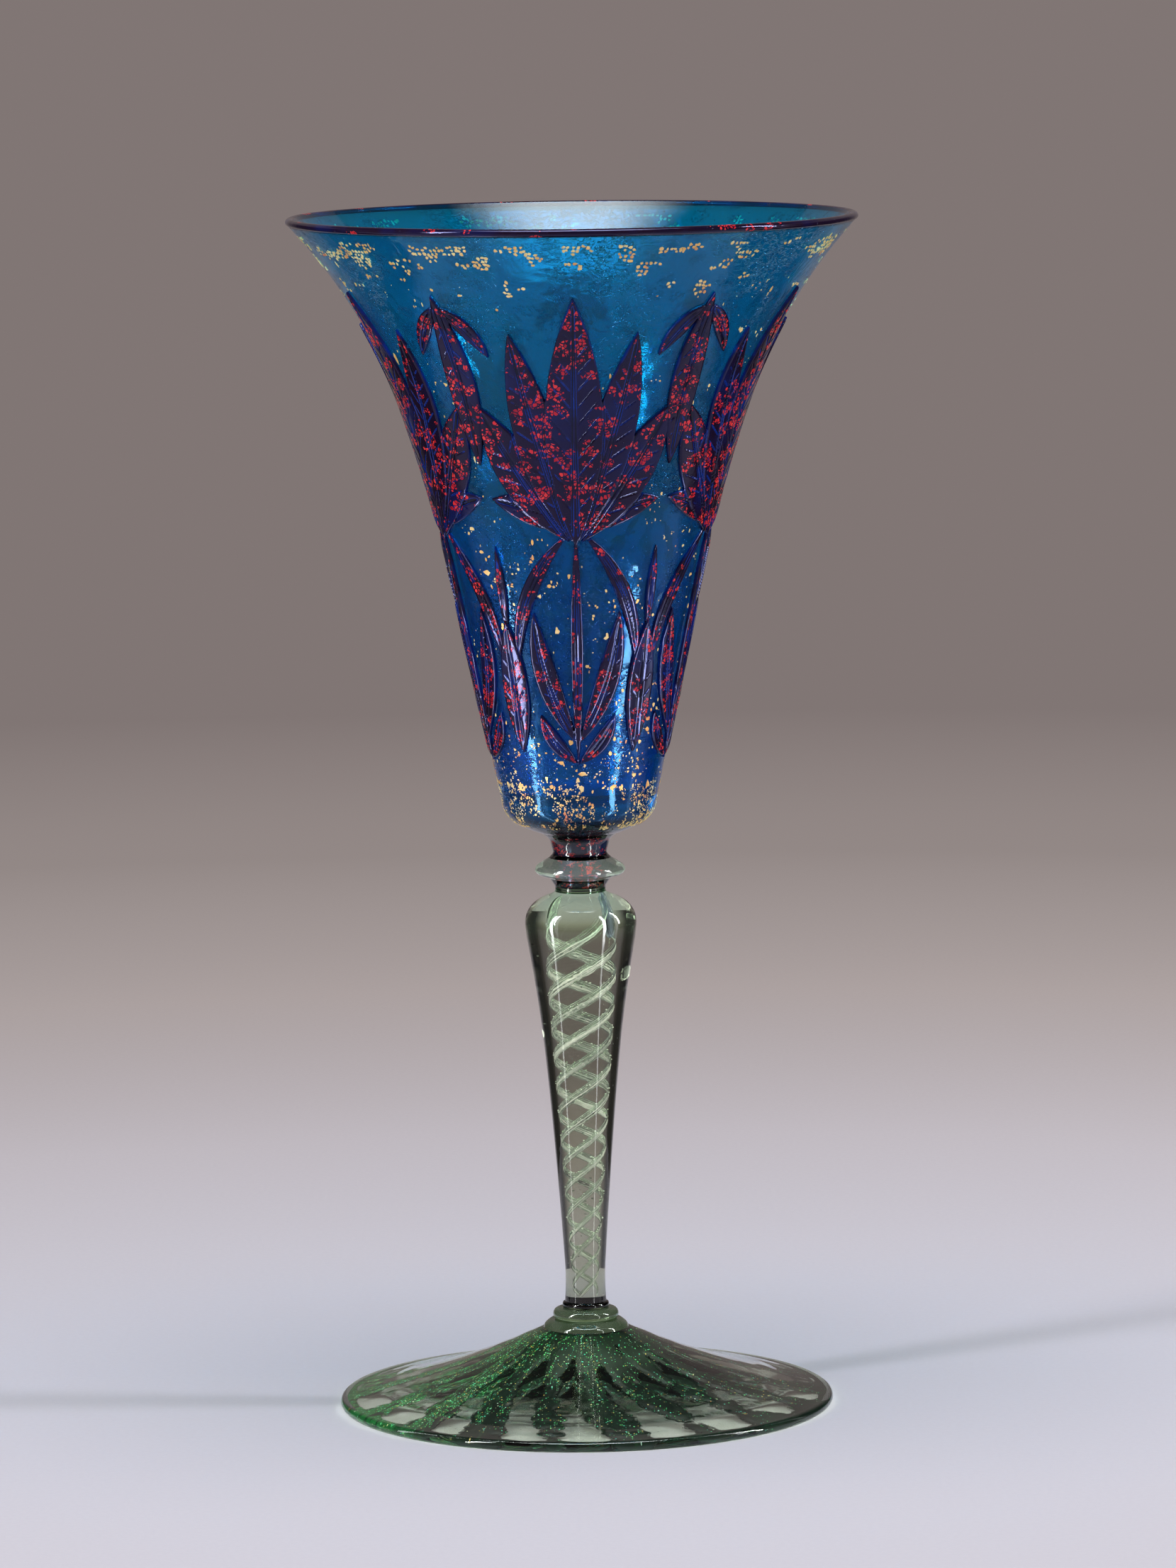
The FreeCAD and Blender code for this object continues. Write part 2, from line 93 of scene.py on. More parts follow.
def put_mesh(name: str, points: Array, groups: Groups, crease: float = 40.0) -> Thing:
    """Puts points and faces into a new object at the origin, smooth but for its sharp edges.

    Args:
        name: the piece's name.
        points: (n, 3) places in millimetres.
        groups: pairs of a (k, 3) or (k, 4) array of corners and the number of its material.
        crease: edges that turn by more than this many degrees stay sharp.

    Returns:
        The new object.
    """
    groups = [(faces, slot) for faces, slot in groups if len(faces)]
    mesh = bpy.data.meshes.new(name)
    mesh.vertices.add(len(points))
    mesh.vertices.foreach_set("co", np.ascontiguousarray(points * MM, np.float32).ravel())
    corners = np.concatenate([faces.ravel() for faces, _ in groups]).astype(np.int32)
    widths = np.concatenate([np.full(len(faces), faces.shape[1]) for faces, _ in groups])
    mesh.loops.add(len(corners))
    mesh.loops.foreach_set("vertex_index", corners)
    mesh.polygons.add(len(widths))
    mesh.polygons.foreach_set("loop_start", (np.cumsum(widths) - widths).astype(np.int32))
    slots = np.concatenate([np.full(len(faces), slot) for faces, slot in groups])
    mesh.polygons.foreach_set("material_index", slots.astype(np.int32))
    mesh.update(calc_edges=True)
    mesh.validate()
    mesh.shade_smooth()
    mesh.set_sharp_from_angle(angle=math.radians(crease))
    thing = bpy.data.objects.new(name, mesh)
    bpy.context.scene.collection.objects.link(thing)
    return thing


def put_colours(thing: Thing, name: str, values: Array) -> None:
    """Gives each point of a piece four numbers, as a colour attribute."""
    layer = thing.data.color_attributes.new(name, "FLOAT_COLOR", "POINT")
    layer.data.foreach_set("color", values.astype(np.float32).ravel())


def spokes(count: int) -> Array:
    """The angles of even steps round a full turn."""
    return np.arange(count) * FULL_TURN / count


def round_axis(reach: Array, angle: Array, height: Array) -> Array:
    """Points by their distance from the axis, angle from the front and height: (r sin t, -r cos t, z)."""
    return np.stack(np.broadcast_arrays(reach * np.sin(angle), -reach * np.cos(angle), height), -1)


def turned(line: Array, steps: int) -> tuple[Array, list[Array]]:
    """Turns a line round Z.

    Args:
        line: (n, 2) radii and heights, drawn with the glass on its left.
        steps: how many angles make a full turn.

    Returns:
        The points, and for each stretch of the line its faces. A stretch that meets the axis has triangles.
    """
    poles = line[:, 0] < 1e-6
    counts = np.where(poles, 1, steps)
    starts = np.cumsum(counts) - counts
    index = starts[:, None] + np.where(poles[:, None], 0, np.arange(steps)[None, :])
    full = round_axis(line[:, 0, None], spokes(steps), line[:, 1, None])
    keep = np.where(poles[:, None], np.arange(steps)[None, :] == 0, True)
    after = np.roll(index, -1, axis=1)
    quads = np.stack([index[:-1], after[:-1], after[1:], index[1:]], axis=-1)
    rows = []
    for row, quad in enumerate(quads):
        if poles[row]:
            quad = quad[:, [0, 2, 3]]
        elif poles[row + 1]:
            quad = quad[:, [0, 1, 2]]
        rows.append(quad)
    return full[keep], rows


def lathe(name: str, line: Array, slots: list[int] | None = None, steps: int = 192,
          crease: float = 40.0) -> Thing:
    """Makes a turned piece whose stretches may have different materials.

    Args:
        name: the piece's name.
        line: (n, 2) radii and heights.
        slots: the number of each stretch's material.
        steps: how many angles make a full turn.
        crease: edges that turn by more than this many degrees stay sharp.

    Returns:
        The piece.
    """
    points, rows = turned(np.asarray(line, float), steps)
    slots = slots or [0] * len(rows)
    return put_mesh(name, points, list(zip(rows, slots)), crease)


def hoop(name: str, radius: float, height: float, half_width: float, half_height: float) -> Thing:
    """Makes a ring of oval section round Z that swells a little here and there.

    Args:
        name: the piece's name.
        radius: how far the middle of the section is from the axis.
        height: how high it is.
        half_width: the section's half width.
        half_height: the section's half height.

    Returns:
        The piece.
    """
    steps, sides, swell_share = 480, 20, 0.05
    turn, way = spokes(steps), spokes(sides)
    swell = 1 - swell_share * patches(np.abs(turn - math.pi) * 20, turn * 0, (9.0, 9.0), 11)
    reach = radius + half_width * swell[:, None] * np.cos(way)[None, :]
    tall = height + half_height * swell[:, None] * np.sin(way)[None, :]
    points = round_axis(reach, turn[:, None], tall)
    number = np.arange(steps * sides).reshape(steps, sides)
    ahead, round_next = np.roll(number, -1, 0), np.roll(number, -1, 1)
    faces = np.stack([number, ahead, np.roll(ahead, -1, 1), round_next], -1).reshape(-1, 4)
    return put_mesh(name, points.reshape(-1, 3), [(faces, 0)])


def smooth_line(points: list[tuple[float, float]], steps: int = 8) -> Array:
    """A smooth line through points: on each stretch a cubic whose end slopes are those of its neighbours.

    Args:
        points: (radius, height) pairs.
        steps: how many parts each stretch is cut into.

    Returns:
        The line's points.
    """
    knots = np.asarray(points, float)
    spans = np.maximum(np.linalg.norm(np.diff(knots, axis=0), axis=1), 1e-6)
    slopes = np.diff(knots, axis=0) / spans[:, None]
    blend = (spans[1:] / (spans[1:] + spans[:-1]))[:, None]
    tangents = np.vstack([slopes[:1], slopes[:-1] * blend + slopes[1:] * (1 - blend), slopes[-1:]])
    share = (np.arange(steps) / steps)[None, :, None]
    width = spans[:, None, None]
    line = (
        (2 * share**3 - 3 * share**2 + 1) * knots[:-1, None]
        + (share**3 - 2 * share**2 + share) * width * tangents[:-1, None]
        + (3 * share**2 - 2 * share**3) * knots[1:, None]
        + (share**3 - share**2) * width * tangents[1:, None]
    )
    return np.vstack([line.reshape(-1, 2), knots[-1:]])


def arc_line(start: Pair, end: Pair, bulge: float, steps: int = 10) -> Array:
    """An arc between two points.

    Args:
        start: its first (radius, height).
        end: its last.
        bulge: how far it rises to the left of its chord, or to the right if it is negative.
        steps: how many parts it has.

    Returns:
        Its points.
    """
    first, last = np.asarray(start, float), np.asarray(end, float)
    chord = last - first
    length = np.linalg.norm(chord)
    left = np.array([-chord[1], chord[0]]) / length
    radius = length**2 / (8 * abs(bulge)) + abs(bulge) / 2
    half = math.asin(min(length / 2 / radius, 1))
    turn = np.linspace(-half, half, steps + 1)[:, None]
    rise = (radius * np.cos(turn) - radius * math.cos(half)) * math.copysign(1, bulge)
    return (first + last) / 2 + chord / length * radius * np.sin(turn) + left * rise


@dataclass
class Cutout:
    """The part of a grid where a field is over zero, as triangles with an exact edge."""

    plane: Array
    faces: Array
    rim: Array


def cut_out(across: Array, up: Array, depth: Callable[[Array, Array], Array]) -> Cutout:
    """Cuts a grid along the line where depth is zero.

    Every square is two triangles. A triangle that the line crosses keeps the part with depth over zero, and
    its new corners lie where depth, taken as straight along the triangle's sides, is zero.

    Args:
        across: the grid's places across.
        up: the grid's places up.
        depth: gives how deep inside the outline the points (across, up) are.

    Returns:
        The points in the plane, the triangles, and the outline's edges with the inside on their left.
    """
    nearest_share = 0.03
    grid = np.stack(np.meshgrid(across, up), axis=-1).reshape(-1, 2)
    level = depth(grid[:, 0], grid[:, 1])
    number = np.arange(len(grid)).reshape(len(up), len(across))
    low_left, low_right = number[:-1, :-1].ravel(), number[:-1, 1:].ravel()
    high_left, high_right = number[1:, :-1].ravel(), number[1:, 1:].ravel()
    triangles = np.vstack([
        np.stack([low_left, low_right, high_right], 1), np.stack([low_left, high_right, high_left], 1)])
    inside = level[triangles] > 0
    count = inside.sum(1)
    whole = triangles[count == 3]

    def led_by(rows: Array, leader: Array) -> Array:
        """Turns each row round until its leading corner is its first."""
        first = np.argmax(leader, axis=1)
        order = (first[:, None] + np.arange(3)) % 3
        return np.take_along_axis(rows, order, axis=1)

    one = led_by(triangles[count == 1], inside[count == 1])
    two = led_by(triangles[count == 2], ~inside[count == 2])
    sides = np.vstack([one[:, [0, 1]], one[:, [0, 2]], two[:, [2, 0]], two[:, [0, 1]]])
    keys = np.sort(sides, axis=1)
    unique, back = np.unique(keys, axis=0, return_inverse=True)
    back = back.ravel() + len(grid)
    share = level[unique[:, 0]] / (level[unique[:, 0]] - level[unique[:, 1]])
    share = np.clip(share, nearest_share, 1 - nearest_share)[:, None]
    crossings = grid[unique[:, 0]] * (1 - share) + grid[unique[:, 1]] * share
    ends = np.cumsum([0, len(one), len(one), len(two), len(two)])
    one_next, one_last, two_last, two_next = (back[a:b] for a, b in zip(ends, ends[1:]))
    faces = np.vstack([
        whole,
        np.stack([one[:, 0], one_next, one_last], 1),
        np.stack([two[:, 1], two[:, 2], two_last], 1),
        np.stack([two[:, 1], two_last, two_next], 1),
    ])
    rim = np.vstack([np.stack([one_next, one_last], 1), np.stack([two_last, two_next], 1)])
    used, renumbered = np.unique(faces, return_inverse=True)
    place = np.zeros(len(grid) + len(unique), int)
    place[used] = np.arange(len(used))
    return Cutout(np.vstack([grid, crossings])[used], renumbered.reshape(faces.shape), place[rim])


def solid_of(cut: Cutout, top: Array, floor: Array) -> tuple[Array, Groups]:
    """Closes a cutout into a solid.

    Args:
        cut: the cutout.
        top: a place for each of its points on the upper face.
        floor: a place for each on the lower face.

    Returns:
        The points, and the faces of both sides and of the wall between them.
    """
    count = len(cut.plane)
    first, last = cut.rim[:, 0], cut.rim[:, 1]
    wall = np.stack([first + count, last + count, last, first], 1)
    faces = np.vstack([cut.faces, cut.faces[:, ::-1] + count])
    return np.vstack([top, floor]), [(faces, 0), (wall, 0)]


def weld_seam(points: Array, groups: Groups) -> Groups:
    """Joins points that lie in one place, and drops the walls that then stand inside the solid.

    Args:
        points: (n, 3) places.
        groups: the faces, with the wall's as the last group.

    Returns:
        The groups, welded.
    """
    _, first, back = np.unique(np.round(points, 4), axis=0, return_index=True, return_inverse=True)
    welded = [(first[back.ravel()][faces], slot) for faces, slot in groups]
    walls, slot = welded[-1]
    keys = np.sort(walls, axis=1)
    _, back, counts = np.unique(keys, axis=0, return_inverse=True, return_counts=True)
    welded[-1] = (walls[counts[back.ravel()] == 1], slot)
    return welded


def patches(across: Array, up: Array, size: Pair, seed: int) -> Array:
    """Soft random patches: a lattice of random numbers, blended smoothly between its points.

    Args:
        across: places across.
        up: places up.
        size: the lattice's spacing across and up.
        seed: the random numbers' seed.

    Returns:
        A value from 0 to 1 for each place.
    """
    count = 96
    lattice = np.random.default_rng(seed).random((count, count))
    column, row = across / size[0] + count // 2, up / size[1] + count // 2
    left, low = np.floor(column).astype(int), np.floor(row).astype(int)
    right_share, high_share = column - left, row - low
    right_share = right_share**2 * (3 - 2 * right_share)
    high_share = high_share**2 * (3 - 2 * high_share)
    left, low, right, high = left % count, low % count, (left + 1) % count, (low + 1) % count
    bottom = lattice[low, left] * (1 - right_share) + lattice[low, right] * right_share
    top = lattice[high, left] * (1 - right_share) + lattice[high, right] * right_share
    return bottom * (1 - high_share) + top * high_share


def ramp(number: Array, start: float, end: float) -> Array:
    """A smooth step from 0 at start to 1 at end."""
    share = np.clip((number - start) / (end - start), 0, 1)
    return share**2 * (3 - 2 * share)


# Node trees


class Tree:
    """Short ways to add nodes to a node tree."""

    def __init__(self, tree: NodeTree) -> None:
        """Keeps the tree."""
        self.tree = tree

    def node(self, kind: str, inputs: dict | None = None, **settings: object) -> Node:
        """Adds a node.

        Args:
            kind: the node's type without its leading ShaderNode.
            inputs: for a socket's name or number, a value or an output socket to link.
            settings: the node's own settings.

        Returns:
            The node.
        """
        made = self.tree.nodes.new("ShaderNode" + kind)
        for name, value in settings.items():
            setattr(made, name, value)
        for name, value in (inputs or {}).items():
            if isinstance(value, Socket):
                self.tree.links.new(value, made.inputs[name])
            else:
                made.inputs[name].default_value = value
        return made

    def math(self, operation: str, *values: object) -> Socket:
        """One step of arithmetic on up to three values."""
        return self.node("Math", dict(enumerate(values)), operation=operation).outputs[0]

    def vector(self, operation: str, *values: object) -> Socket:
        """One step of arithmetic on vectors, which may end in a plain value."""
        made = self.node("VectorMath", dict(enumerate(values)), operation=operation)
        return made.outputs["Value" if operation in ("LENGTH", "DOT_PRODUCT") else "Vector"]

    def parts(self, vector: object) -> list[Socket]:
        """A vector's three parts."""
        return list(self.node("SeparateXYZ", {0: vector}).outputs)

    def channels(self, colour: object) -> list[Socket]:
        """A colour's three channels."""
        return list(self.node("SeparateColor", {0: colour}).outputs)

    def noise(self, vector: object, scale: object, detail: float = 2.0,
              distortion: float = 0.0) -> Socket:
        """A smooth noise's value."""
        return self.node("TexNoise", {"Vector": vector, "Scale": scale, "Detail": detail,
                                      "Distortion": distortion}).outputs["Fac"]

    def step(self, value: object, start: object, end: object, low: object = 0.0,
             high: object = 1.0) -> Socket:
        """A value carried smoothly from low at start to high at end."""
        given = {"Value": value, "From Min": start, "From Max": end, "To Min": low, "To Max": high}
        return self.node("MapRange", given, interpolation_type="SMOOTHSTEP").outputs["Result"]

    def blend(self, share: object, first: object, second: object) -> Socket:
        """Blends two colours.

        Args:
            share: how much of the second colour there is.
            first: a colour or an output socket.
            second: a colour or an output socket.

        Returns:
            The blend's output socket.
        """
        pair = [value if isinstance(value, Socket) else (*value, 1.0) for value in (first, second)]
        return self.node("Mix", {0: share, 6: pair[0], 7: pair[1]}, data_type="RGBA").outputs[2]

    def colours(self, share: object, stops: list[tuple[float, Colour]]) -> Socket:
        """Reads a row of colours.

        Args:
            share: where in the row to read.
            stops: pairs of a place from 0 to 1 and its colour.

        Returns:
            The colour's output socket.
        """
        made = self.node("ValToRGB", {0: share})
        band = made.color_ramp
        while len(band.elements) < len(stops):
            band.elements.new(0.5)
        for element, (place, colour) in zip(band.elements, stops):
            element.position = place
            element.color = (*colour, 1.0)
        return made.outputs[0]

    def pane_for_lamps(self, body: Node, tint: Colour) -> Node:
        """A glass body that is a plain tinted pane to the light of lamps."""
        pane = self.node("BsdfTransparent", {"Color": (*tint, 1.0)})
        lamps = self.node("LightPath").outputs["Is Shadow Ray"]
        return self.node("MixShader", {0: lamps, 1: body.outputs[0], 2: pane.outputs[0]})

    def show(self, shader: Node) -> None:
        """Links a shader to the material's output."""
        self.node("OutputMaterial", {0: shader.outputs[0]})

    def give(self, results: dict[str, Socket]) -> None:
        """Links results to the node group's outputs."""
        end = self.tree.nodes.new("NodeGroupOutput")
        for label, socket in results.items():
            self.tree.links.new(socket, end.inputs[label])


def group(name: str, inputs: dict[str, str], outputs: dict[str, str]) -> tuple[NodeTree, Tree, dict]:
    """Starts a shared node group.

    Args:
        name: the group's name.
        inputs: the kind of socket for each input's name.
        outputs: the kind of socket for each output's name.

    Returns:
        The group, its tree and its input sockets by name.
    """
    made = bpy.data.node_groups.new(name, "ShaderNodeTree")
    for sockets, side in ((inputs, "INPUT"), (outputs, "OUTPUT")):
        for label, kind in sockets.items():
            made.interface.new_socket(label, in_out=side, socket_type="NodeSocket" + kind)
    start = made.nodes.new("NodeGroupInput")
    return made, Tree(made), {label: start.outputs[label] for label in inputs}


class Patterns:
    """The node groups that more than one finish uses."""

    hues = [
        (0.0, (0.05, 0.55, 0.14)), (0.4, (0.24, 1.0, 0.38)), (0.62, (0.12, 0.90, 0.80)),
        (0.76, (0.90, 1.0, 0.80)), (0.88, (1.0, 0.85, 0.22)), (1.0, (0.95, 0.45, 0.12))]

    def __init__(self) -> None:
        """Builds the groups once."""
        self.leaf = self.make_leaf()
        self.ripples = self.make_ripples()
        self.glints = self.make_glints()

    @staticmethod
    def make_leaf() -> NodeTree:
        """Crazed metal leaf: oval patches of small cells with cracks between them, some cells lost.

        Returns:
            The group. Its mask is 1 on the leaf, and its tone is drawn for each cell.
        """
        squeeze, drift_scale, drift_reach, oval = (1.12, 1.12, 1.0), 420.0, 0.0008, (0.8, 0.8, 1.5)
        patch_least, patch_spread, ragged_spread = 0.40, 0.34, 0.16
        lost_share, crack_least, crack_spread, crack_edge = 0.22, 0.05, 0.10, 0.05
        made, tree, given = group(
            "Crazed leaf", {"Vector": "Vector", "Cell": "Float", "Patch": "Float", "Cover": "Float"},
            {"Mask": "Float", "Tone": "Float"})
        squeezed = tree.vector("MULTIPLY", given["Vector"], squeeze)
        drift = tree.node("TexNoise", {"Vector": squeezed, "Scale": drift_scale, "Detail": 2.0})
        moved = tree.vector("MULTIPLY", drift.outputs["Color"], (drift_reach,) * 3)
        bent = tree.vector("ADD", squeezed, moved)
        fine = tree.math("DIVIDE", 1.0, given["Cell"])
        coarse = tree.math("DIVIDE", 1.0, given["Patch"])
        cracks = tree.node("TexVoronoi", {"Vector": bent, "Scale": fine}, feature="DISTANCE_TO_EDGE")
        cells = tree.node("TexVoronoi", {"Vector": bent, "Scale": fine})
        ovals = tree.node("TexVoronoi", {"Vector": tree.vector("MULTIPLY", bent, oval), "Scale": coarse})
        chance, size, _ = tree.channels(ovals.outputs["Color"])
        luck, rough, tone = tree.channels(cells.outputs["Color"])
        reach = tree.math("MULTIPLY_ADD", size, patch_spread, patch_least)
        ragged = tree.math("MULTIPLY_ADD", rough, ragged_spread, ovals.outputs["Distance"])
        patch = tree.math("MULTIPLY", tree.math("LESS_THAN", ragged, reach),
                          tree.math("LESS_THAN", chance, given["Cover"]))
        gap = tree.math("MULTIPLY_ADD", rough, crack_spread, crack_least)
        whole = tree.step(cracks.outputs["Distance"], gap, tree.math("ADD", gap, crack_edge))
        cell = tree.math("MULTIPLY", tree.math("GREATER_THAN", luck, lost_share), whole)
        tree.give({"Mask": tree.math("MULTIPLY", patch, cell), "Tone": tone})
        return made

    @staticmethod
    def make_ripples() -> NodeTree:
        """The slow waves and fine seeds of hand-made glass.

        Returns:
            The group. It gives the height and, for the waves alone, a tone.
        """
        wave_detail, wave_bend = 2.0, 0.6
        seed_scale, seed_core, seed_edge, seed_share = 1150.0, 0.1, 0.24, 0.07
        made, tree, given = group(
            "Hot glass", {"Vector": "Vector", "Wave": "Float", "Seeds": "Float"},
            {"Height": "Float", "Tone": "Float"})
        slow = tree.noise(given["Vector"], given["Wave"], wave_detail, wave_bend)
        seeds = tree.node("TexVoronoi", {"Vector": given["Vector"], "Scale": seed_scale})
        dots = tree.step(seeds.outputs["Distance"], seed_core, seed_edge, 1.0, 0.0)
        few = tree.math("LESS_THAN", tree.channels(seeds.outputs["Color"])[0], seed_share)
        pits = tree.math("MULTIPLY", tree.math("MULTIPLY", dots, few), given["Seeds"])
        tree.give({"Height": tree.math("ADD", slow, pits), "Tone": slow})
        return made

    @classmethod
    def make_glints(cls) -> NodeTree:
        """Metal glitter: tiny cells, a share of them bright, each with its own colour and tilt.

        The glitter gathers in strands that swirl out from the middle.

        Returns:
            The group. Its strand tells how thick a strand is at a place.
        """
        swirl, fan_turn, fan_away, fan_height = 9.0, 15.0, 110.0, 60.0
        strand_start, strand_full = 0.50, 0.62
        grain_least, grain_spread, chance_least, chance_spread = 0.14, 0.30, 0.5, 5.0
        made, tree, given = group(
            "Glitter", {"Vector": "Vector", "Grain": "Float", "Cover": "Float", "Gather": "Float"},
            {"Mask": "Float", "Colour": "Color", "Tilt": "Vector", "Strand": "Float"})
        across, along, height = tree.parts(given["Vector"])
        turn = tree.math("ARCTAN2", across, along)
        away = tree.vector("LENGTH", tree.vector("MULTIPLY", given["Vector"], (1.0, 1.0, 0.0)))
        swirled = tree.math("ADD", turn, tree.math("MULTIPLY", away, swirl))
        fan = tree.node("CombineXYZ", {
            0: tree.math("MULTIPLY", swirled, fan_turn), 1: tree.math("MULTIPLY", away, fan_away),
            2: tree.math("MULTIPLY", height, fan_height)}).outputs[0]
        strands = tree.node("TexNoise", {
            "Vector": fan, "Scale": 1.5, "Detail": 5.0, "Roughness": 0.62, "Distortion": 0.9}).outputs["Fac"]
        strand = tree.step(tree.math("ADD", strands, given["Gather"]), strand_start, strand_full)
        cells = tree.node("TexVoronoi", {"Vector": given["Vector"], "Scale": given["Grain"]})
        luck, hue, size = tree.channels(cells.outputs["Color"])
        reach = tree.math("MULTIPLY_ADD", size, grain_spread, grain_least)
        body = tree.math("LESS_THAN", cells.outputs["Distance"], reach)
        crowd = tree.math("MULTIPLY_ADD", strand, chance_spread, chance_least)
        chosen = tree.math("LESS_THAN", luck, tree.math("MULTIPLY", given["Cover"], crowd))
        mask = tree.math("MULTIPLY", chosen, body)
        tilt = tree.vector("SUBTRACT", cells.outputs["Color"], (0.5, 0.5, 0.5))
        tree.give({"Mask": mask, "Colour": tree.colours(hue, cls.hues), "Tilt": tilt, "Strand": strand})
        return made


def new_material(name: str) -> tuple[Material, Tree, Socket]:
    """A material with an empty tree, and the socket for the place on the piece in metres."""
    made = bpy.data.materials.new(name)
    made.use_nodes = True
    made.node_tree.nodes.clear()
    tree = Tree(made.node_tree)
    return made, tree, tree.node("TexCoord").outputs["Object"]


# Finishes


@dataclass(frozen=True)
class Finish:
    """The look of one sort of glass or metal."""

    name: str

    def build(self, patterns: Patterns) -> Material:
        """Makes the material.

        Args:
            patterns: the shared node groups.

        Returns:
            The material.
        """
        made, tree, spot = new_material(self.name)
        tree.show(self.shader(tree, spot, patterns))
        return made

    def shader(self, tree: Tree, spot: Socket, patterns: Patterns) -> Node:
        """Adds the finish's nodes.

        Args:
            tree: the material's tree.
            spot: the place on the piece, in metres.
            patterns: the shared node groups.

        Returns:
            The node whose first output is the finish's shader.
        """
        raise NotImplementedError


@dataclass(frozen=True)
class ClearGlass(Finish):
    """Fire-polished glass that lets lamps through to what it holds. Its crown has another colour."""

    tint: Colour
    streak: Colour
    wave: float = 120.0
    ripple: float = 0.00004
    clear: float = 1.0
    crown: Colour | None = None
    crown_from: float = 0.0945
    crown_to: float = 0.0985
    seeds: float = 0.5
    streak_span: Pair = (0.35, 0.65)
    shine: Pair = (0.0, 0.02)

    def shader(self, tree: Tree, spot: Socket, patterns: Patterns) -> Node:
        """Clear glass with streaks and slow waves. Lamps see the root of its tint."""
        ripples = tree.node("Group", {"Vector": spot, "Wave": self.wave, "Seeds": self.seeds},
                            node_tree=patterns.ripples).outputs
        colour = tree.blend(tree.step(ripples["Tone"], *self.streak_span), self.tint, self.streak)
        if self.crown:
            height = tree.parts(spot)[2]
            colour = tree.blend(tree.step(height, self.crown_from, self.crown_to), colour, self.crown)
        bump = tree.node("Bump", {"Strength": 1.0, "Distance": self.ripple, "Height": ripples["Height"]})
        body = tree.node("BsdfPrincipled", {
            "Base Color": colour, "Roughness": tree.step(ripples["Tone"], *TONE_SPAN, *self.shine),
            "Transmission Weight": self.clear, "IOR": GLASS_INDEX, "Normal": bump.outputs[0]})
        return tree.pane_for_lamps(body, tuple(math.sqrt(part) for part in self.tint))


@dataclass(frozen=True)
class FusedJoint(Finish):
    """The plane where two gathers were joined hot. Light passes it unbent."""

    name: str = "fused joint"

    def shader(self, tree: Tree, spot: Socket, patterns: Patterns) -> Node:
        """Glass with the index of its surroundings."""
        return tree.node("BsdfPrincipled", {
            "Base Color": (1.0, 1.0, 1.0, 1.0), "Roughness": 0.0, "Transmission Weight": 1.0, "IOR": 1.0})


@dataclass(frozen=True)
class AirThread(Finish):
    """Air drawn out in glass, seen by what its wall mirrors."""

    name: str = "air thread"
    tint: Colour = (0.93, 1.0, 0.93)
    lamp_tint: Colour = (0.95, 1.0, 0.95)

    def shader(self, tree: Tree, spot: Socket, patterns: Patterns) -> Node:
        """A body with the index of air as seen from inside glass."""
        body = tree.node("BsdfGlass", {"Color": (*self.tint, 1.0), "Roughness": 0.0, "IOR": 1 / GLASS_INDEX})
        return tree.pane_for_lamps(body, self.lamp_tint)


@dataclass(frozen=True)
class SilverThread(Finish):
    """Fine air lines drawn close together, with gaps between them, in stripes that are partly their own
    pattern and partly a painted silvery sheen, with painted sparkles.
    """

    name: str = "silver thread"
    line_stretch: Colour = (45.0, 9.0, 0.0)
    line_detail: float = 1.5
    sparkle_dash_stretch: Colour = (1500.0, 9.0, 0.0)
    sparkle_dash_span: Pair = (0.54, 0.60)
    shine: tuple = (0.3, 0.6, 0.35, 0.12)
    solid: tuple = (0.42, 0.49, 0.45, 0.97)

    def shader(self, tree: Tree, spot: Socket, patterns: Patterns) -> Node:
        """Stripes and small painted sparkles that run by the thread's own length and bearing."""
        spun = tree.node("Attribute", attribute_name="spun").outputs["Color"]
        lines = tree.noise(tree.vector("MULTIPLY", spun, self.line_stretch), 1.0, self.line_detail)
        painted_sparkles = tree.noise(tree.vector("MULTIPLY", spun, self.sparkle_dash_stretch), 1.0)
        # The pale stripes are partly the lines' own pattern and partly a painted silvery sheen.
        colour = tree.colours(lines, [
            (0.43, (0.012, 0.025, 0.018)), (0.48, (0.28, 0.38, 0.32)), (0.57, (0.90, 0.92, 0.90))])
        # Painted sparkles: small white marks along the thread.
        colour = tree.blend(tree.step(painted_sparkles, *self.sparkle_dash_span), colour, (1.0, 1.0, 1.0))
        return tree.node("BsdfPrincipled", {
            "Base Color": colour, "Roughness": tree.step(lines, *self.shine), "IOR": GLASS_INDEX,
            "Alpha": tree.step(lines, *self.solid)})


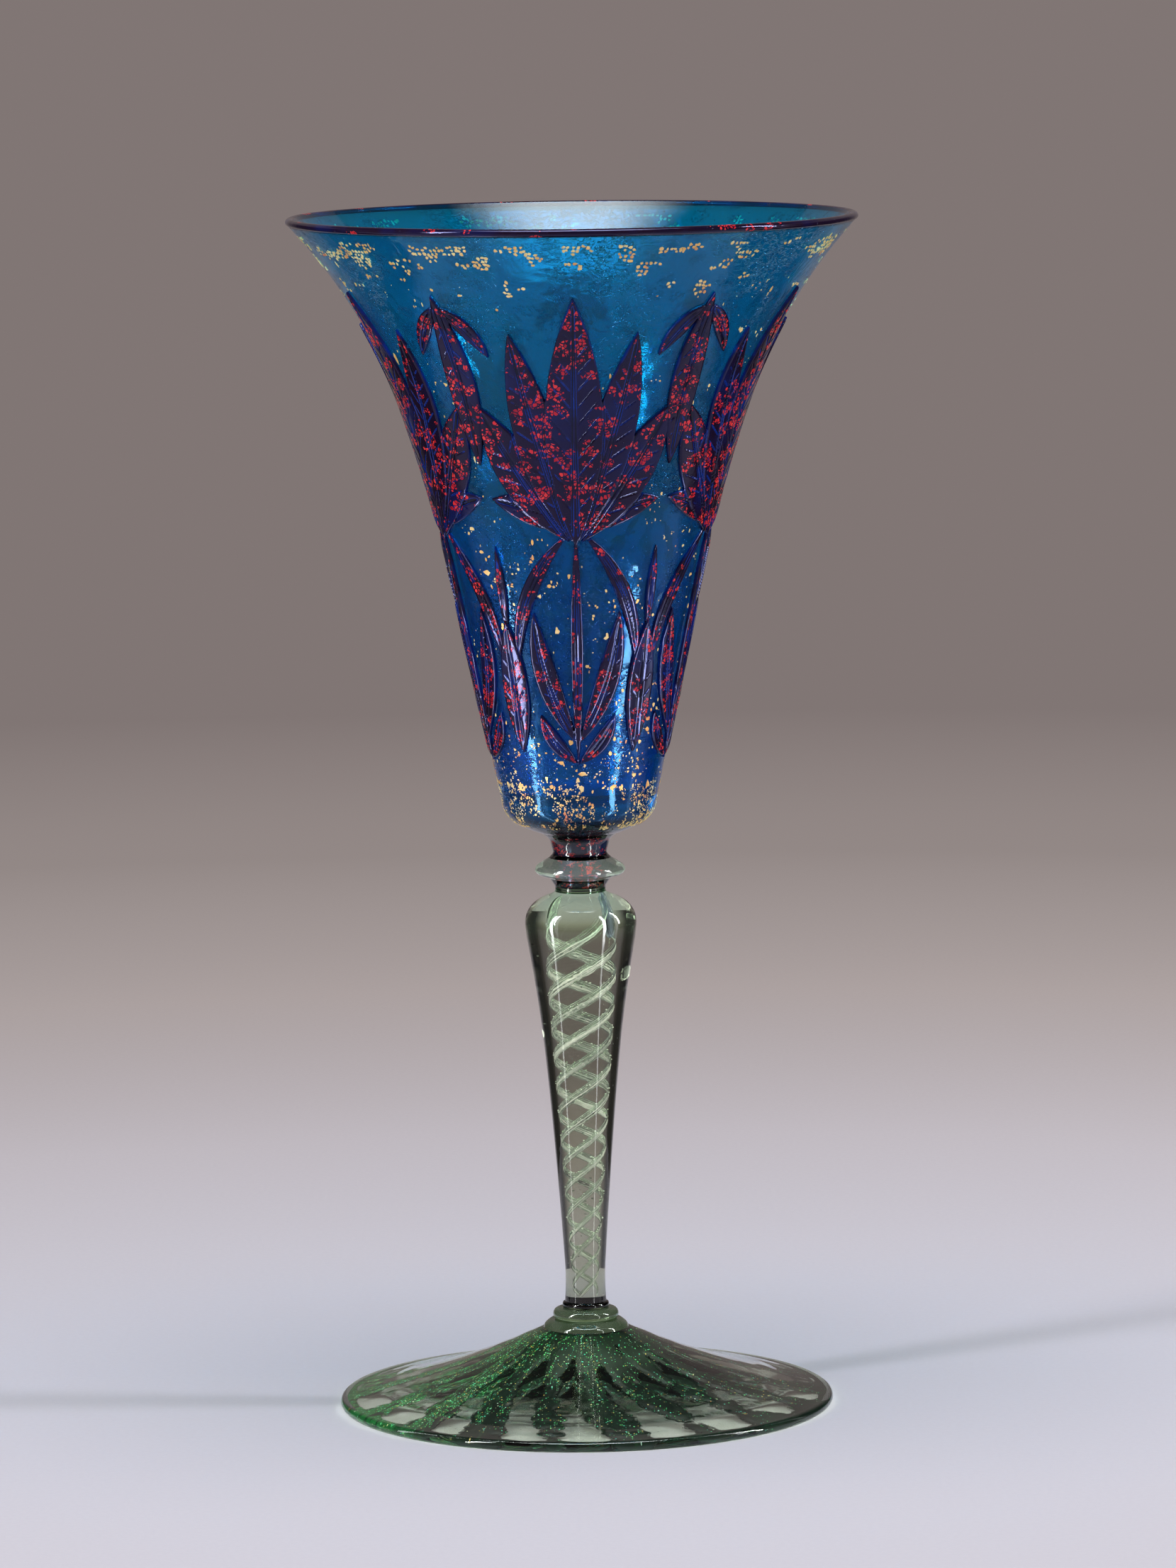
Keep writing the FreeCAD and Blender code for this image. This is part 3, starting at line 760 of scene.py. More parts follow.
@dataclass(frozen=True)
class TealGlass(Finish):
    """The cup's glass: polished, bluer towards its base and dark in the thick glass of its bottom."""

    high: Colour = (0.003, 0.40, 0.70)
    low: Colour = (0.003, 0.19, 0.66)
    roughness: float = 0.07
    transmission: float = 0.97
    seeds: float = 0.3
    relief: float = 0.00003
    gloss: Colour = (0.95, 1.0, 1.0)
    bottom: Colour = (0.006, 0.010, 0.030)
    bottom_span: Pair = (0.1195, 0.1235)
    blue_span: Pair = (0.15, 0.225)
    pale: Colour = (0.02, 0.42, 0.62)
    pale_share: float = 0.35
    cloud_scale: float = 60.0
    cloud_reach: float = 0.02
    streak_stretch: Colour = (1.0, 1.0, 2.2)
    streak_scale: float = 160.0
    streak_span: Pair = (0.5, 0.72)
    wave: float = 170.0
    shine_shares: Pair = (0.8, 1.25)
    lamp_tint: Colour = (0.35, 0.75, 0.9)

    def skin(self, tree: Tree, spot: Socket, patterns: Patterns, height: Socket,
             clouds: Socket, colour: Socket) -> tuple:
        """Works over the outer skin, which a polished cup leaves as it is.

        Args:
            tree: the material's tree.
            spot: the place on the piece, in metres.
            patterns: the shared node groups.
            height: the skin's height.
            clouds: a slow noise.
            colour: the glass's colour.

        Returns:
            The skin's height and colour.
        """
        return height, colour

    def shader(self, tree: Tree, spot: Socket, patterns: Patterns) -> Node:
        """Clouded and streaked glass whose colour goes by its height."""
        height = tree.parts(spot)[2]
        clouds = tree.noise(spot, self.cloud_scale, 3.0)
        level = tree.math("ADD", height, tree.math("MULTIPLY", clouds, self.cloud_reach))
        colour = tree.blend(tree.step(level, *self.blue_span), self.low, self.high)
        colour = tree.blend(tree.step(height, *self.bottom_span, 1.0, 0.0), colour, self.bottom)
        pale = tree.blend(self.pale_share, colour, self.pale)
        streaks = tree.noise(tree.vector("MULTIPLY", spot, self.streak_stretch), self.streak_scale, 4.0, 0.8)
        colour = tree.blend(tree.step(streaks, *self.streak_span), colour, pale)
        ripples = tree.node("Group", {"Vector": spot, "Wave": self.wave, "Seeds": self.seeds},
                            node_tree=patterns.ripples).outputs
        relief, colour = self.skin(tree, spot, patterns, ripples["Height"], clouds, colour)
        bump = tree.node("Bump", {"Strength": 1.0, "Distance": self.relief, "Height": relief})
        shine = [self.roughness * share for share in self.shine_shares]
        body = tree.node("BsdfPrincipled", {
            "Base Color": colour, "Roughness": tree.step(ripples["Tone"], *TONE_SPAN, *shine),
            "Transmission Weight": self.transmission, "IOR": GLASS_INDEX,
            "Specular Tint": (*self.gloss, 1.0), "Normal": bump.outputs[0]})
        return tree.pane_for_lamps(body, self.lamp_tint)


@dataclass(frozen=True)
class EtchedTeal(TealGlass):
    """The same glass, matt from the acid, with fine worm tracks and pits where leaf came off."""

    high: Colour = (0.003, 0.43, 0.74)
    roughness: float = 0.09
    transmission: float = 0.92
    seeds: float = 1.5
    relief: float = 0.0002
    gloss: Colour = (0.20, 0.60, 1.0)
    worm_stretch: Colour = (1.0, 1.0, 1.8)
    worm_scale: float = 420.0
    worm_width: float = 0.05
    worm_span: Pair = (0.46, 0.58)
    worm_height: float = 0.6
    pit_cell: float = 0.0007
    pit_patch: float = 0.0042
    pit_cover: float = 0.5
    pit_share: float = 0.6
    pit_painted_shade: Colour = (0.002, 0.10, 0.26)

    def skin(self, tree: Tree, spot: Socket, patterns: Patterns, height: Socket,
             clouds: Socket, colour: Socket) -> tuple:
        """The skin's height and colour, with worm tracks in some clouds and pits, which are darkened as
        painted shade.
        """
        worms = tree.noise(tree.vector("MULTIPLY", spot, self.worm_stretch), self.worm_scale, 2.0, 1.5)
        middle = tree.math("ABSOLUTE", tree.math("SUBTRACT", worms, 0.5))
        ridges = tree.math("MULTIPLY", tree.step(middle, 0.0, self.worm_width, 1.0, 0.0),
                           tree.step(clouds, *self.worm_span))
        relief = tree.math("ADD", height, tree.math("MULTIPLY", ridges, self.worm_height))
        pits = tree.node("Group", {"Vector": spot, "Cell": self.pit_cell, "Patch": self.pit_patch,
                                   "Cover": self.pit_cover}, node_tree=patterns.leaf)
        # Painted shade: the pits take a darker colour.
        share = tree.math("MULTIPLY", pits.outputs["Mask"], self.pit_share)
        return tree.math("SUBTRACT", relief, share), tree.blend(share, colour, self.pit_painted_shade)


@dataclass(frozen=True)
class RubyOverlay(Finish):
    """Dark ruby and cobalt casing with crazed leaf that shows red through it."""

    cover: float = 0.9
    cell: float = 0.0008
    patch: float = 0.0036
    carved: bool = True
    cloud_scale: float = 75.0
    zone_scale: float = 190.0
    edge_share: float = 0.6
    wave: float = 260.0
    seeds: float = 0.6
    relief: float = 0.00008
    shine: Pair = (0.07, 0.16)
    gloss: Colour = (0.45, 0.50, 1.0)

    def shader(self, tree: Tree, spot: Socket, patterns: Patterns) -> Node:
        """Dark polished glass over red leaf."""
        clouds = tree.noise(spot, self.cloud_scale, 3.0)
        dark = tree.colours(clouds, [
            (0.3, (0.006, 0.004, 0.020)), (0.5, (0.010, 0.003, 0.014)), (0.7, (0.005, 0.009, 0.070))])
        leaf = tree.node("Group", {"Vector": spot, "Cell": self.cell, "Patch": self.patch,
                                   "Cover": self.cover}, node_tree=patterns.leaf).outputs
        red = tree.colours(leaf["Tone"], [
            (0.0, (0.26, 0.008, 0.016)), (0.45, (0.62, 0.018, 0.024)), (1.0, (0.86, 0.055, 0.045))])
        mask = leaf["Mask"]
        if self.carved:
            dark, mask = self.carving(tree, spot, dark, mask)
        ripples = tree.node("Group", {"Vector": spot, "Wave": self.wave, "Seeds": self.seeds},
                            node_tree=patterns.ripples).outputs
        bump = tree.node("Bump", {"Strength": 1.0, "Distance": self.relief, "Height": ripples["Height"]})
        return tree.node("BsdfPrincipled", {
            "Base Color": tree.blend(mask, dark, red), "Specular Tint": (*self.gloss, 1.0),
            "Roughness": tree.step(ripples["Tone"], *TONE_SPAN, *self.shine), "IOR": GLASS_INDEX,
            "Normal": bump.outputs[0]})

    def carving(self, tree: Tree, spot: Socket, dark: Socket,
                mask: Socket) -> tuple[Socket, Socket]:
        """Colours the reliefs by the attribute "carving", whose red is edge and whose green is cut.

        Args:
            tree: the material's tree.
            spot: the place on the piece, in metres.
            dark: the casing's colour.
            mask: where the leaf lies.

        Returns:
            The casing's colour with cobalt edges, a painted highlight along the sides of the cuts and painted
            shade deep in them, and the leaf's mask without them.
        """
        edge, groove, _ = tree.channels(tree.node("Attribute", attribute_name="carving").outputs["Color"])
        zones = tree.noise(spot, self.zone_scale, 2.0)
        cobalt = tree.step(tree.math("ADD", tree.math("MULTIPLY", edge, self.edge_share), zones), 0.95, 1.25)
        dark = tree.blend(cobalt, dark, (0.002, 0.014, 0.12))
        # Painted highlight: bright blue along the sides of the cuts.
        painted_groove_highlight = tree.math("MULTIPLY", tree.step(groove, 0.12, 0.4), tree.step(zones, 0.40, 0.58))
        dark = tree.blend(painted_groove_highlight, dark, (0.002, 0.030, 0.28))
        # Painted shade: near black deep in the cuts.
        dark = tree.blend(tree.step(groove, 0.42, 0.8), dark, (0.001, 0.001, 0.004))
        open_field = tree.math("MULTIPLY", tree.step(edge, 0.6, 0.85, 1.0, 0.0),
                               tree.step(groove, 0.45, 0.8, 1.0, 0.0))
        return dark, tree.math("MULTIPLY", mask, open_field)


@dataclass(frozen=True)
class GoldLeaf(Finish):
    """Thin gold leaf, creased and a little rubbed."""

    name: str = "gold leaf"
    crease_scale: float = 900.0
    tone_scale: float = 260.0
    metal: float = 0.4
    shine: Pair = (0.45, 0.65)

    def shader(self, tree: Tree, spot: Socket, patterns: Patterns) -> Node:
        """Creased metal in several tones of gold."""
        creases = tree.noise(spot, self.crease_scale, 3.0)
        colour = tree.colours(tree.noise(spot, self.tone_scale), [
            (0.30, (0.70, 0.24, 0.11)), (0.42, (0.88, 0.52, 0.15)), (0.62, (0.96, 0.75, 0.34))])
        bump = tree.node("Bump", {"Strength": 0.8, "Distance": 0.0001, "Height": creases})
        return tree.node("BsdfPrincipled", {
            "Base Color": colour, "Metallic": self.metal, "Normal": bump.outputs[0],
            "Roughness": tree.step(creases, *TONE_SPAN, *self.shine)})


@dataclass(frozen=True)
class PaintedBeadGlint(Finish):
    """The skin of a tiny bubble, painted pale as a stand-in for the glint of light on it."""

    name: str = "painted bead glint"
    tone_scale: float = 700.0
    shine: Pair = (0.1, 0.3)

    def shader(self, tree: Tree, spot: Socket, patterns: Patterns) -> Node:
        """A gloss over a pale colour in two tones: a painted glint."""
        tones = tree.noise(spot, self.tone_scale)
        # Painted glint: a near white colour stands in for light caught by the bubble.
        colour = tree.colours(tones, [(0.35, (0.55, 0.75, 0.52)), (0.55, (0.95, 1.0, 0.95))])
        return tree.node("BsdfPrincipled", {
            "Base Color": colour, "Roughness": tree.step(tones, *TONE_SPAN, *self.shine), "IOR": GLASS_INDEX})


@dataclass(frozen=True)
class Glitter(Finish):
    """Dark green glass full of metal glitter that frays out at its edges, thicker and greener to the back
    left: partly its own spread and partly painted light from that side.
    """

    base: Colour = (0.0016, 0.0065, 0.004)
    strand: Colour = (0.012, 0.15, 0.035)
    grain: float = 2500.0
    cover: float = 0.32
    rim_cover_share: float = 0.2
    rim_span: Pair = (0.040, 0.0475)
    lean: Colour = (-0.75, 0.65, 0.0)
    gather: tuple = (-0.02, 0.025, -0.06, 0.12)
    strand_share: tuple = (-0.02, 0.12, 0.15, 0.8)
    cloud_scale: float = 150.0
    cloud_gain: float = 2.2
    tilt: float = 0.9
    dust_scale: float = 1100.0
    dust_gain: float = 1.1
    shown_span: Pair = (0.5, 0.95)
    metal: float = 0.15

    def shader(self, tree: Tree, spot: Socket, patterns: Patterns) -> Node:
        """Tilted glints in dark glass. The attribute "body" says how deep inside its band a point is."""
        # Towards the back left the glitter thickens and its strands turn greener: partly its own spread,
        # partly painted light from that side.
        side = tree.vector("DOT_PRODUCT", spot, self.lean)
        gather = tree.step(side, *self.gather)
        away = tree.vector("LENGTH", tree.vector("MULTIPLY", spot, (1.0, 1.0, 0.0)))
        cover = tree.step(away, *self.rim_span, self.cover, self.rim_cover_share * self.cover)
        glints = tree.node("Group", {"Vector": spot, "Gather": gather, "Grain": self.grain, "Cover": cover},
                           node_tree=patterns.glints).outputs
        clouds = tree.noise(spot, self.cloud_scale, 3.0)
        lighter = tuple(self.cloud_gain * part for part in self.base)
        deep = tree.blend(tree.step(clouds, 0.35, 0.7), self.base, lighter)
        green = tree.math("MULTIPLY", glints["Strand"], tree.step(gather, *self.strand_share))
        colour = tree.blend(glints["Mask"], tree.blend(green, deep, self.strand), glints["Colour"])
        leaning = tree.vector("MULTIPLY", glints["Tilt"], (self.tilt,) * 3)
        masked = tree.node("VectorMath", {0: leaning, "Scale": glints["Mask"]}, operation="SCALE").outputs[0]
        tilted = tree.vector("ADD", tree.node("NewGeometry").outputs["Normal"], masked)
        inside = tree.node("Attribute", attribute_name="body").outputs["Fac"]
        dust = tree.noise(spot, self.dust_scale, 4.0)
        shown = tree.math("ADD", inside, tree.math("MULTIPLY", dust, self.dust_gain))
        return tree.node("BsdfPrincipled", {
            "Base Color": colour, "Metallic": tree.math("MULTIPLY", glints["Mask"], self.metal),
            "Roughness": tree.step(glints["Mask"], 0.0, 1.0, 0.35, 0.25), "IOR": GLASS_INDEX,
            "Alpha": tree.step(shown, *self.shown_span), "Normal": tree.vector("NORMALIZE", tilted)})


PALE_GLASS = ClearGlass("pale green glass", (0.78, 0.94, 0.78), (0.88, 0.98, 0.87), 260.0, 0.00028, 0.8)
DARK_GLASS = ClearGlass("dark green glass", (0.30, 0.46, 0.24), (0.46, 0.62, 0.38), 160.0, clear=0.85)
SEAM_GLASS = ClearGlass("seam green", (0.10, 0.62, 0.26), (0.3, 0.75, 0.4))
FOOT_GLASS = ClearGlass("foot glass", (0.66, 0.71, 0.60), (0.72, 0.76, 0.67), crown=(0.50, 0.72, 0.46),
                        crown_from=0.006, crown_to=0.014)
STEM_GLASS = ClearGlass("stem glass", (0.42, 0.44, 0.33), (0.48, 0.50, 0.39), 90.0, crown=(0.62, 0.86, 0.56))
# The first teardrop's air is tinted darker: painted shade for the dark surroundings it mirrors.
SHADED_DROP = AirThread("drop painted shade", (0.62, 0.68, 0.80))
LIP_COBALT = RubyOverlay("lip cobalt", 0.25, 0.0007, 0.003, False)
HEART_RUBY = RubyOverlay("ruby heart", 0.8, 0.0003, 0.0014, False)


# The bowl


@dataclass
class BowlWall:
    """The outer line of the cup's wall: a cone, a slow flare and a quick one, tangent to each other."""

    floor: float = 116.2
    height: float = 122.0
    seat_radius: float = 7.7
    bottom_radius: float = 12.2
    bottom_rise: float = 1.9
    base_radius: float = 15.5
    base_rise: float = 6.6
    base_bulge: float = -0.75
    seat_bulge: float = -0.12
    cone_radius: float = 25.4
    cone_rise: float = 53.8
    lip_radius: float = 56.1
    knee_turn_share: float = 0.554
    lip_turn_share: float = 2.48
    thickness: float = 1.8
    floor_dip: float = 2.8

    def __post_init__(self) -> None:
        """Works out the angles, radii and centres of the wall's stretches."""
        self.wall_angle = math.atan((self.cone_radius - self.base_radius) / (self.cone_rise - self.base_rise))
        run, rise = self.lip_radius - self.cone_radius, self.height - self.cone_rise
        turn = math.atan(run / rise) - self.wall_angle
        knee = self.wall_angle + turn * self.knee_turn_share
        lip = self.wall_angle + turn * self.lip_turn_share
        cosines, sines = ([turned_by(angle) for angle in (self.wall_angle, knee, lip)]
                          for turned_by in (math.cos, math.sin))
        low_run, high_run = cosines[0] - cosines[1], cosines[1] - cosines[2]
        low_rise, high_rise = sines[1] - sines[0], sines[2] - sines[1]
        scale = low_run * high_rise - high_run * low_rise
        self.low_arc = (run * high_rise - high_run * rise) / scale
        self.high_arc = (low_run * rise - low_rise * run) / scale
        self.base_height = self.floor + self.base_rise
        self.cone_height = self.floor + self.cone_rise
        self.knee_height = self.cone_height + self.low_arc * low_rise
        self.lip_height = self.floor + self.height
        self.low_centre = (self.cone_radius + self.low_arc * math.cos(self.wall_angle),
                           self.cone_height - self.low_arc * math.sin(self.wall_angle))
        knee_radius = self.cone_radius + self.low_arc * low_run
        low_end = np.array([self.bottom_radius, self.floor + self.bottom_rise])
        chord = np.array([self.base_radius, self.base_height]) - low_end
        length, bulge = np.linalg.norm(chord), abs(self.base_bulge)
        self.round_radius = length**2 / (8 * bulge) + bulge / 2
        inward = np.array([-chord[1], chord[0]]) / length
        self.round_centre = low_end + chord / 2 + inward * (self.round_radius - bulge)
        self.high_centre = (knee_radius + self.high_arc * math.cos(knee),
                            self.knee_height - self.high_arc * math.sin(knee))

    def at(self, height: Array) -> tuple[Array, Array]:
        """The wall's radius and lean.

        On an arc with its centre outside the glass, the lean's sine is the height over the centre divided by
        the arc's radius, and the wall's radius is the centre's less the arc's radius times the lean's cosine.
        The base round has its centre inside the glass, so there both signs turn.

        Args:
            height: heights from the foot of the base round to the lip.

        Returns:
            The radius and the lean, in radians, at each height.
        """
        height = np.asarray(height, float)
        cone = self.base_radius + (height - self.base_height) * math.tan(self.wall_angle)
        low_lean = np.arcsin(np.clip((height - self.low_centre[1]) / self.low_arc, -1, 1))
        high_lean = np.arcsin(np.clip((height - self.high_centre[1]) / self.high_arc, -1, 1))
        low = self.low_centre[0] - self.low_arc * np.cos(low_lean)
        high = self.high_centre[0] - self.high_arc * np.cos(high_lean)
        radius = np.where(height < self.cone_height, cone, np.where(height < self.knee_height, low, high))
        lean = np.where(height < self.cone_height, self.wall_angle,
                        np.where(height < self.knee_height, low_lean, high_lean))
        base_lean = -np.arcsin(np.clip((height - self.round_centre[1]) / self.round_radius, -1, 1))
        base = self.round_centre[0] + self.round_radius * np.cos(base_lean)
        radius = np.where(height < self.base_height, base, radius)
        return radius, np.where(height < self.base_height, base_lean, lean)

    def place(self, across: Array, height: Array, lift: Array) -> Array:
        """Carries points of the front plane along Y onto the wall, and lifts them off along its normal."""
        return self.round_place(np.arcsin(np.clip(across / self.at(height)[0], -1, 1)), height, lift)

    def round_place(self, angle: Array, height: Array, lift: Array) -> Array:
        """Points at angles round the wall from the front, lifted off it along its normal."""
        radius, lean = self.at(height)
        return round_axis(radius + lift * np.cos(lean), angle, height - lift * np.sin(lean))


@dataclass
class Leaf:
    """One leaf of a motif, between two arcs from its root to its tip."""

    root: Array
    tip: Array
    left: float
    right: float
    layer: float

    def sides(self, points: Array) -> tuple[Array, Array, Array]:
        """Places points by the leaf.

        Args:
            points: (n, 2) places across and up.

        Returns:
            How far inside its left and right arcs each point is, and its share of the way from root to tip.
        """
        chord = self.tip - self.root
        length = np.linalg.norm(chord)
        along = chord / length
        left_way = np.array([-along[1], along[0]])
        middle = (self.root + self.tip) / 2
        depths = []
        for bulge, way in ((self.left, left_way), (self.right, -left_way)):
            radius = length**2 / (8 * abs(bulge)) + abs(bulge) / 2
            centre = middle + way * (bulge - math.copysign(radius, bulge))
            gap = np.linalg.norm(points - centre, axis=1)
            depths.append((radius - gap) * math.copysign(1, bulge))
        return depths[0], depths[1], (points - self.root) @ along / length


# Each leaf's root and tip, across and up, the bulges of its left and right arcs, and its layer. Across and
# the bulges are shares of the lip's radius, up is a share of the frieze's height, and 1 is the top layer.
FLOWER_SHARES = (
    (0.000, 0.480, 0.000, 0.980, 0.100, 0.100, 1.00),
    (0.012, 0.490, 0.225, 0.910, 0.060, 0.085, 0.80),
    (0.020, 0.490, 0.330, 0.760, 0.060, 0.085, 0.62),
    (0.020, 0.510, 0.290, 0.575, 0.065, 0.030, 0.45),
    (0.020, 0.510, 0.200, 0.240, 0.085, -0.030, 0.30),
    (0.000, 0.030, 0.000, 0.520, 0.021, 0.021, 1.00),
    (0.000, 0.080, 0.150, 0.350, 0.008, 0.070, 0.60),
    (0.000, 0.040, 0.130, 0.140, 0.008, 0.045, 0.35),
)
BUD_SHARES = (
    (0.000, 0.985, 0.000, 0.640, 0.058, 0.058, 1.00),
    (0.000, 0.960, 0.140, 0.860, 0.050, 0.010, 0.60),
    (0.000, 0.060, 0.000, 0.330, 0.052, 0.052, 1.00),
    (0.000, 0.300, 0.000, 0.480, 0.018, 0.018, 0.60),
)


@dataclass
class Frieze:
    """The cameo frieze: five palmettes with a bud between each two, left standing by the acid."""

    wall: BowlWall
    rise: float = 12.0
    height: float = 100.0
    repeats: int = 5
    relief: float = 0.7
    lowest: float = 0.42
    shoulder: float = 0.45
    sunk: float = 0.06
    grid: float = 0.22
    margin: float = 1.5
    rounded_share: float = 0.4
    rib_gap: float = 0.5
    rib_width: float = 0.2
    rib_reach_share: float = 1.15
    vein_pitch: float = 3.4
    vein_slant: float = 1.21
    vein_width: float = 0.18
    vein_depth_share: float = 0.9
    moat_gap: float = 0.16
    moat_width: float = 0.17
    cut_depth: float = 0.17
    ripple_height: float = 0.05
    ripple_size: Pair = (2.4, 1.7)
    edge_width: float = 0.9
    rib_fade: Pair = (0.25, 0.8)
    vein_start: Pair = (0.6, 1.0)
    vein_fade: Pair = (0.5, 1.2)
    ripple_fade: Pair = (0.2, 1.0)

    def leaves(self, shares: tuple) -> list[Leaf]:
        """The leaves of a motif, with the mirrored twins of those off its middle line.

        Args:
            shares: the motif's table.

        Returns:
            The leaves in millimetres.
        """
        reach, base = self.wall.lip_radius, self.wall.floor + self.rise
        made = []
        for root_x, root_z, tip_x, tip_z, left, right, layer in shares:
            root = np.array([root_x * reach, base + root_z * self.height])
            tip = np.array([tip_x * reach, base + tip_z * self.height])
            made.append(Leaf(root, tip, left * reach, right * reach, layer))
            if root_x or tip_x:
                flip = np.array([-1.0, 1.0])
                made.append(Leaf(root * flip, tip * flip, right * reach, left * reach, layer))
        return made

    @staticmethod
    def depth(leaves: list[Leaf], across: Array, up: Array) -> Array:
        """Places points by a motif.

        Args:
            leaves: the motif's leaves.
            across: places across.
            up: heights.

        Returns:
            How deep inside the outline each point is, in millimetres.
        """
        points = np.stack([across, up], 1)
        best = np.full(len(points), -np.inf)
        for leaf in leaves:
            left, right, _ = leaf.sides(points)
            best = np.maximum(best, np.minimum(left, right))
        return best

    def carve(self, leaves: list[Leaf], points: Array) -> tuple[Array, Array]:
        """Shapes the relief.

        A leaf stands at its layer's height with a round shoulder. Its midrib is a raised line with a cut on
        each side, its veins run out from it as slanting cuts, and a moat follows each leaf over a lower one.

        Args:
            leaves: the motif's leaves.
            points: (n, 2) places across and up, inside the outline.

        Returns:
            The relief's height, and for the attribute how near the outline and how deep in a cut a point is.
        """
        count = len(points)
        top, depth, owner = np.zeros(count), np.full(count, -np.inf), np.zeros(count, int)
        facts = []
        for number, leaf in enumerate(leaves):
            left, right, along = leaf.sides(points)
            inside = np.minimum(left, right)
            facts.append((inside, left - right, along))
            round_off = np.sqrt(np.clip(1 - (1 - np.clip(inside / self.shoulder, 0, 1)) ** 2, 0, 1))
            stand = self.lowest + (self.relief - self.lowest) * leaf.layer
            stand = stand * (1 - self.rounded_share + self.rounded_share * round_off)
            stand = np.where(inside > 0, stand, 0)
            owner = np.where(stand > top, number, owner)
            top = np.maximum(top, stand)
            depth = np.maximum(depth, inside)
        groove = np.zeros(count)
        for number, (leaf, (inside, skew, along)) in enumerate(zip(leaves, facts)):
            length = np.linalg.norm(leaf.tip - leaf.root)
            span = np.abs(skew) / 2
            taper = np.clip(self.rib_reach_share - along, 0, 1)
            rib = np.exp(-((span - self.rib_gap * taper) / self.rib_width) ** 2)
            rib = rib * ramp(inside, *self.rib_fade)
            wave = (along * length - self.vein_slant * span) / self.vein_pitch
            near = np.abs(wave - np.round(wave)) * self.vein_pitch
            veins = np.exp(-(near / self.vein_width) ** 2) * ramp(span, *self.vein_start)
            veins = veins * ramp(inside, *self.vein_fade)
            groove = np.where(owner == number, np.maximum(rib, veins * self.vein_depth_share), groove)
        layers = np.array([leaf.layer for leaf in leaves])[owner]
        for number, (leaf, (inside, _, _)) in enumerate(zip(leaves, facts)):
            moat = np.exp(-((inside + self.moat_gap) / self.moat_width) ** 2) * (owner != number)
            groove = np.maximum(groove, np.where(leaf.layer > layers, moat, 0))
        ripple = patches(points[:, 0], points[:, 1], self.ripple_size, 7) - 0.5
        ripple = self.ripple_height * ripple * ramp(depth, *self.ripple_fade)
        height = top - self.cut_depth * groove + ripple
        edge = 1 - np.clip(depth / self.edge_width, 0, 1)
        return height, np.stack([edge, groove, np.zeros(count), np.ones(count)], 1)

    def build(self, patterns: Patterns) -> list[Thing]:
        """Makes the reliefs, one object for each motif, turned to its place round the cup.

        Args:
            patterns: the shared node groups.

        Returns:
            The pieces.
        """
        finish = RubyOverlay("ruby overlay").build(patterns)
        sector = FULL_TURN / self.repeats
        made = []
        for label, shares, place in (("palmette", FLOWER_SHARES, 0.0), ("bud", BUD_SHARES, 0.5)):
            leaves = self.leaves(shares)
            widest = max(abs(value) for leaf in leaves for value in (leaf.root[0], leaf.tip[0]))
            reach = widest + 8 * self.margin
            bottom = self.wall.floor + self.rise - self.margin
            across = np.arange(-reach, reach + self.grid, self.grid)
            up = np.arange(bottom, bottom + self.height + 2 * self.margin, self.grid)
            cut = cut_out(across, up, lambda a, u: self.depth(leaves, a, u))
            lift, carving = self.carve(leaves, cut.plane)
            top = self.wall.place(cut.plane[:, 0], cut.plane[:, 1], lift)
            floor = self.wall.place(cut.plane[:, 0], cut.plane[:, 1], np.full(len(lift), -self.sunk))
            points, groups = solid_of(cut, top, floor)
            for repeat in range(self.repeats):
                turn = sector * (repeat + place)
                swung = points.copy()
                swung[:, 0] = points[:, 0] * math.cos(turn) - points[:, 1] * math.sin(turn)
                swung[:, 1] = points[:, 0] * math.sin(turn) + points[:, 1] * math.cos(turn)
                piece = put_mesh(f"{label}_{repeat + 1}", swung, groups)
                put_colours(piece, "carving", np.vstack([carving, carving]))
                piece.data.materials.append(finish)
                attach(piece, "root")
                made.append(piece)
        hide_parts("cameo_overlay")
        return made

    def covers(self, angle: Array, height: Array) -> Array:
        """Places points by the whole frieze.

        Args:
            angle: angles round the cup from the front.
            height: heights.

        Returns:
            How deep inside any motif's outline each point is, in millimetres.
        """
        radius, _ = self.wall.at(height)
        sector = FULL_TURN / self.repeats
        best = np.full(len(angle), -np.inf)
        for shares, place in ((FLOWER_SHARES, 0.0), (BUD_SHARES, 0.5)):
            turned_back = (angle - place * sector + sector / 2) % sector - sector / 2
            best = np.maximum(best, self.depth(self.leaves(shares), radius * np.sin(turned_back), height))
        return best


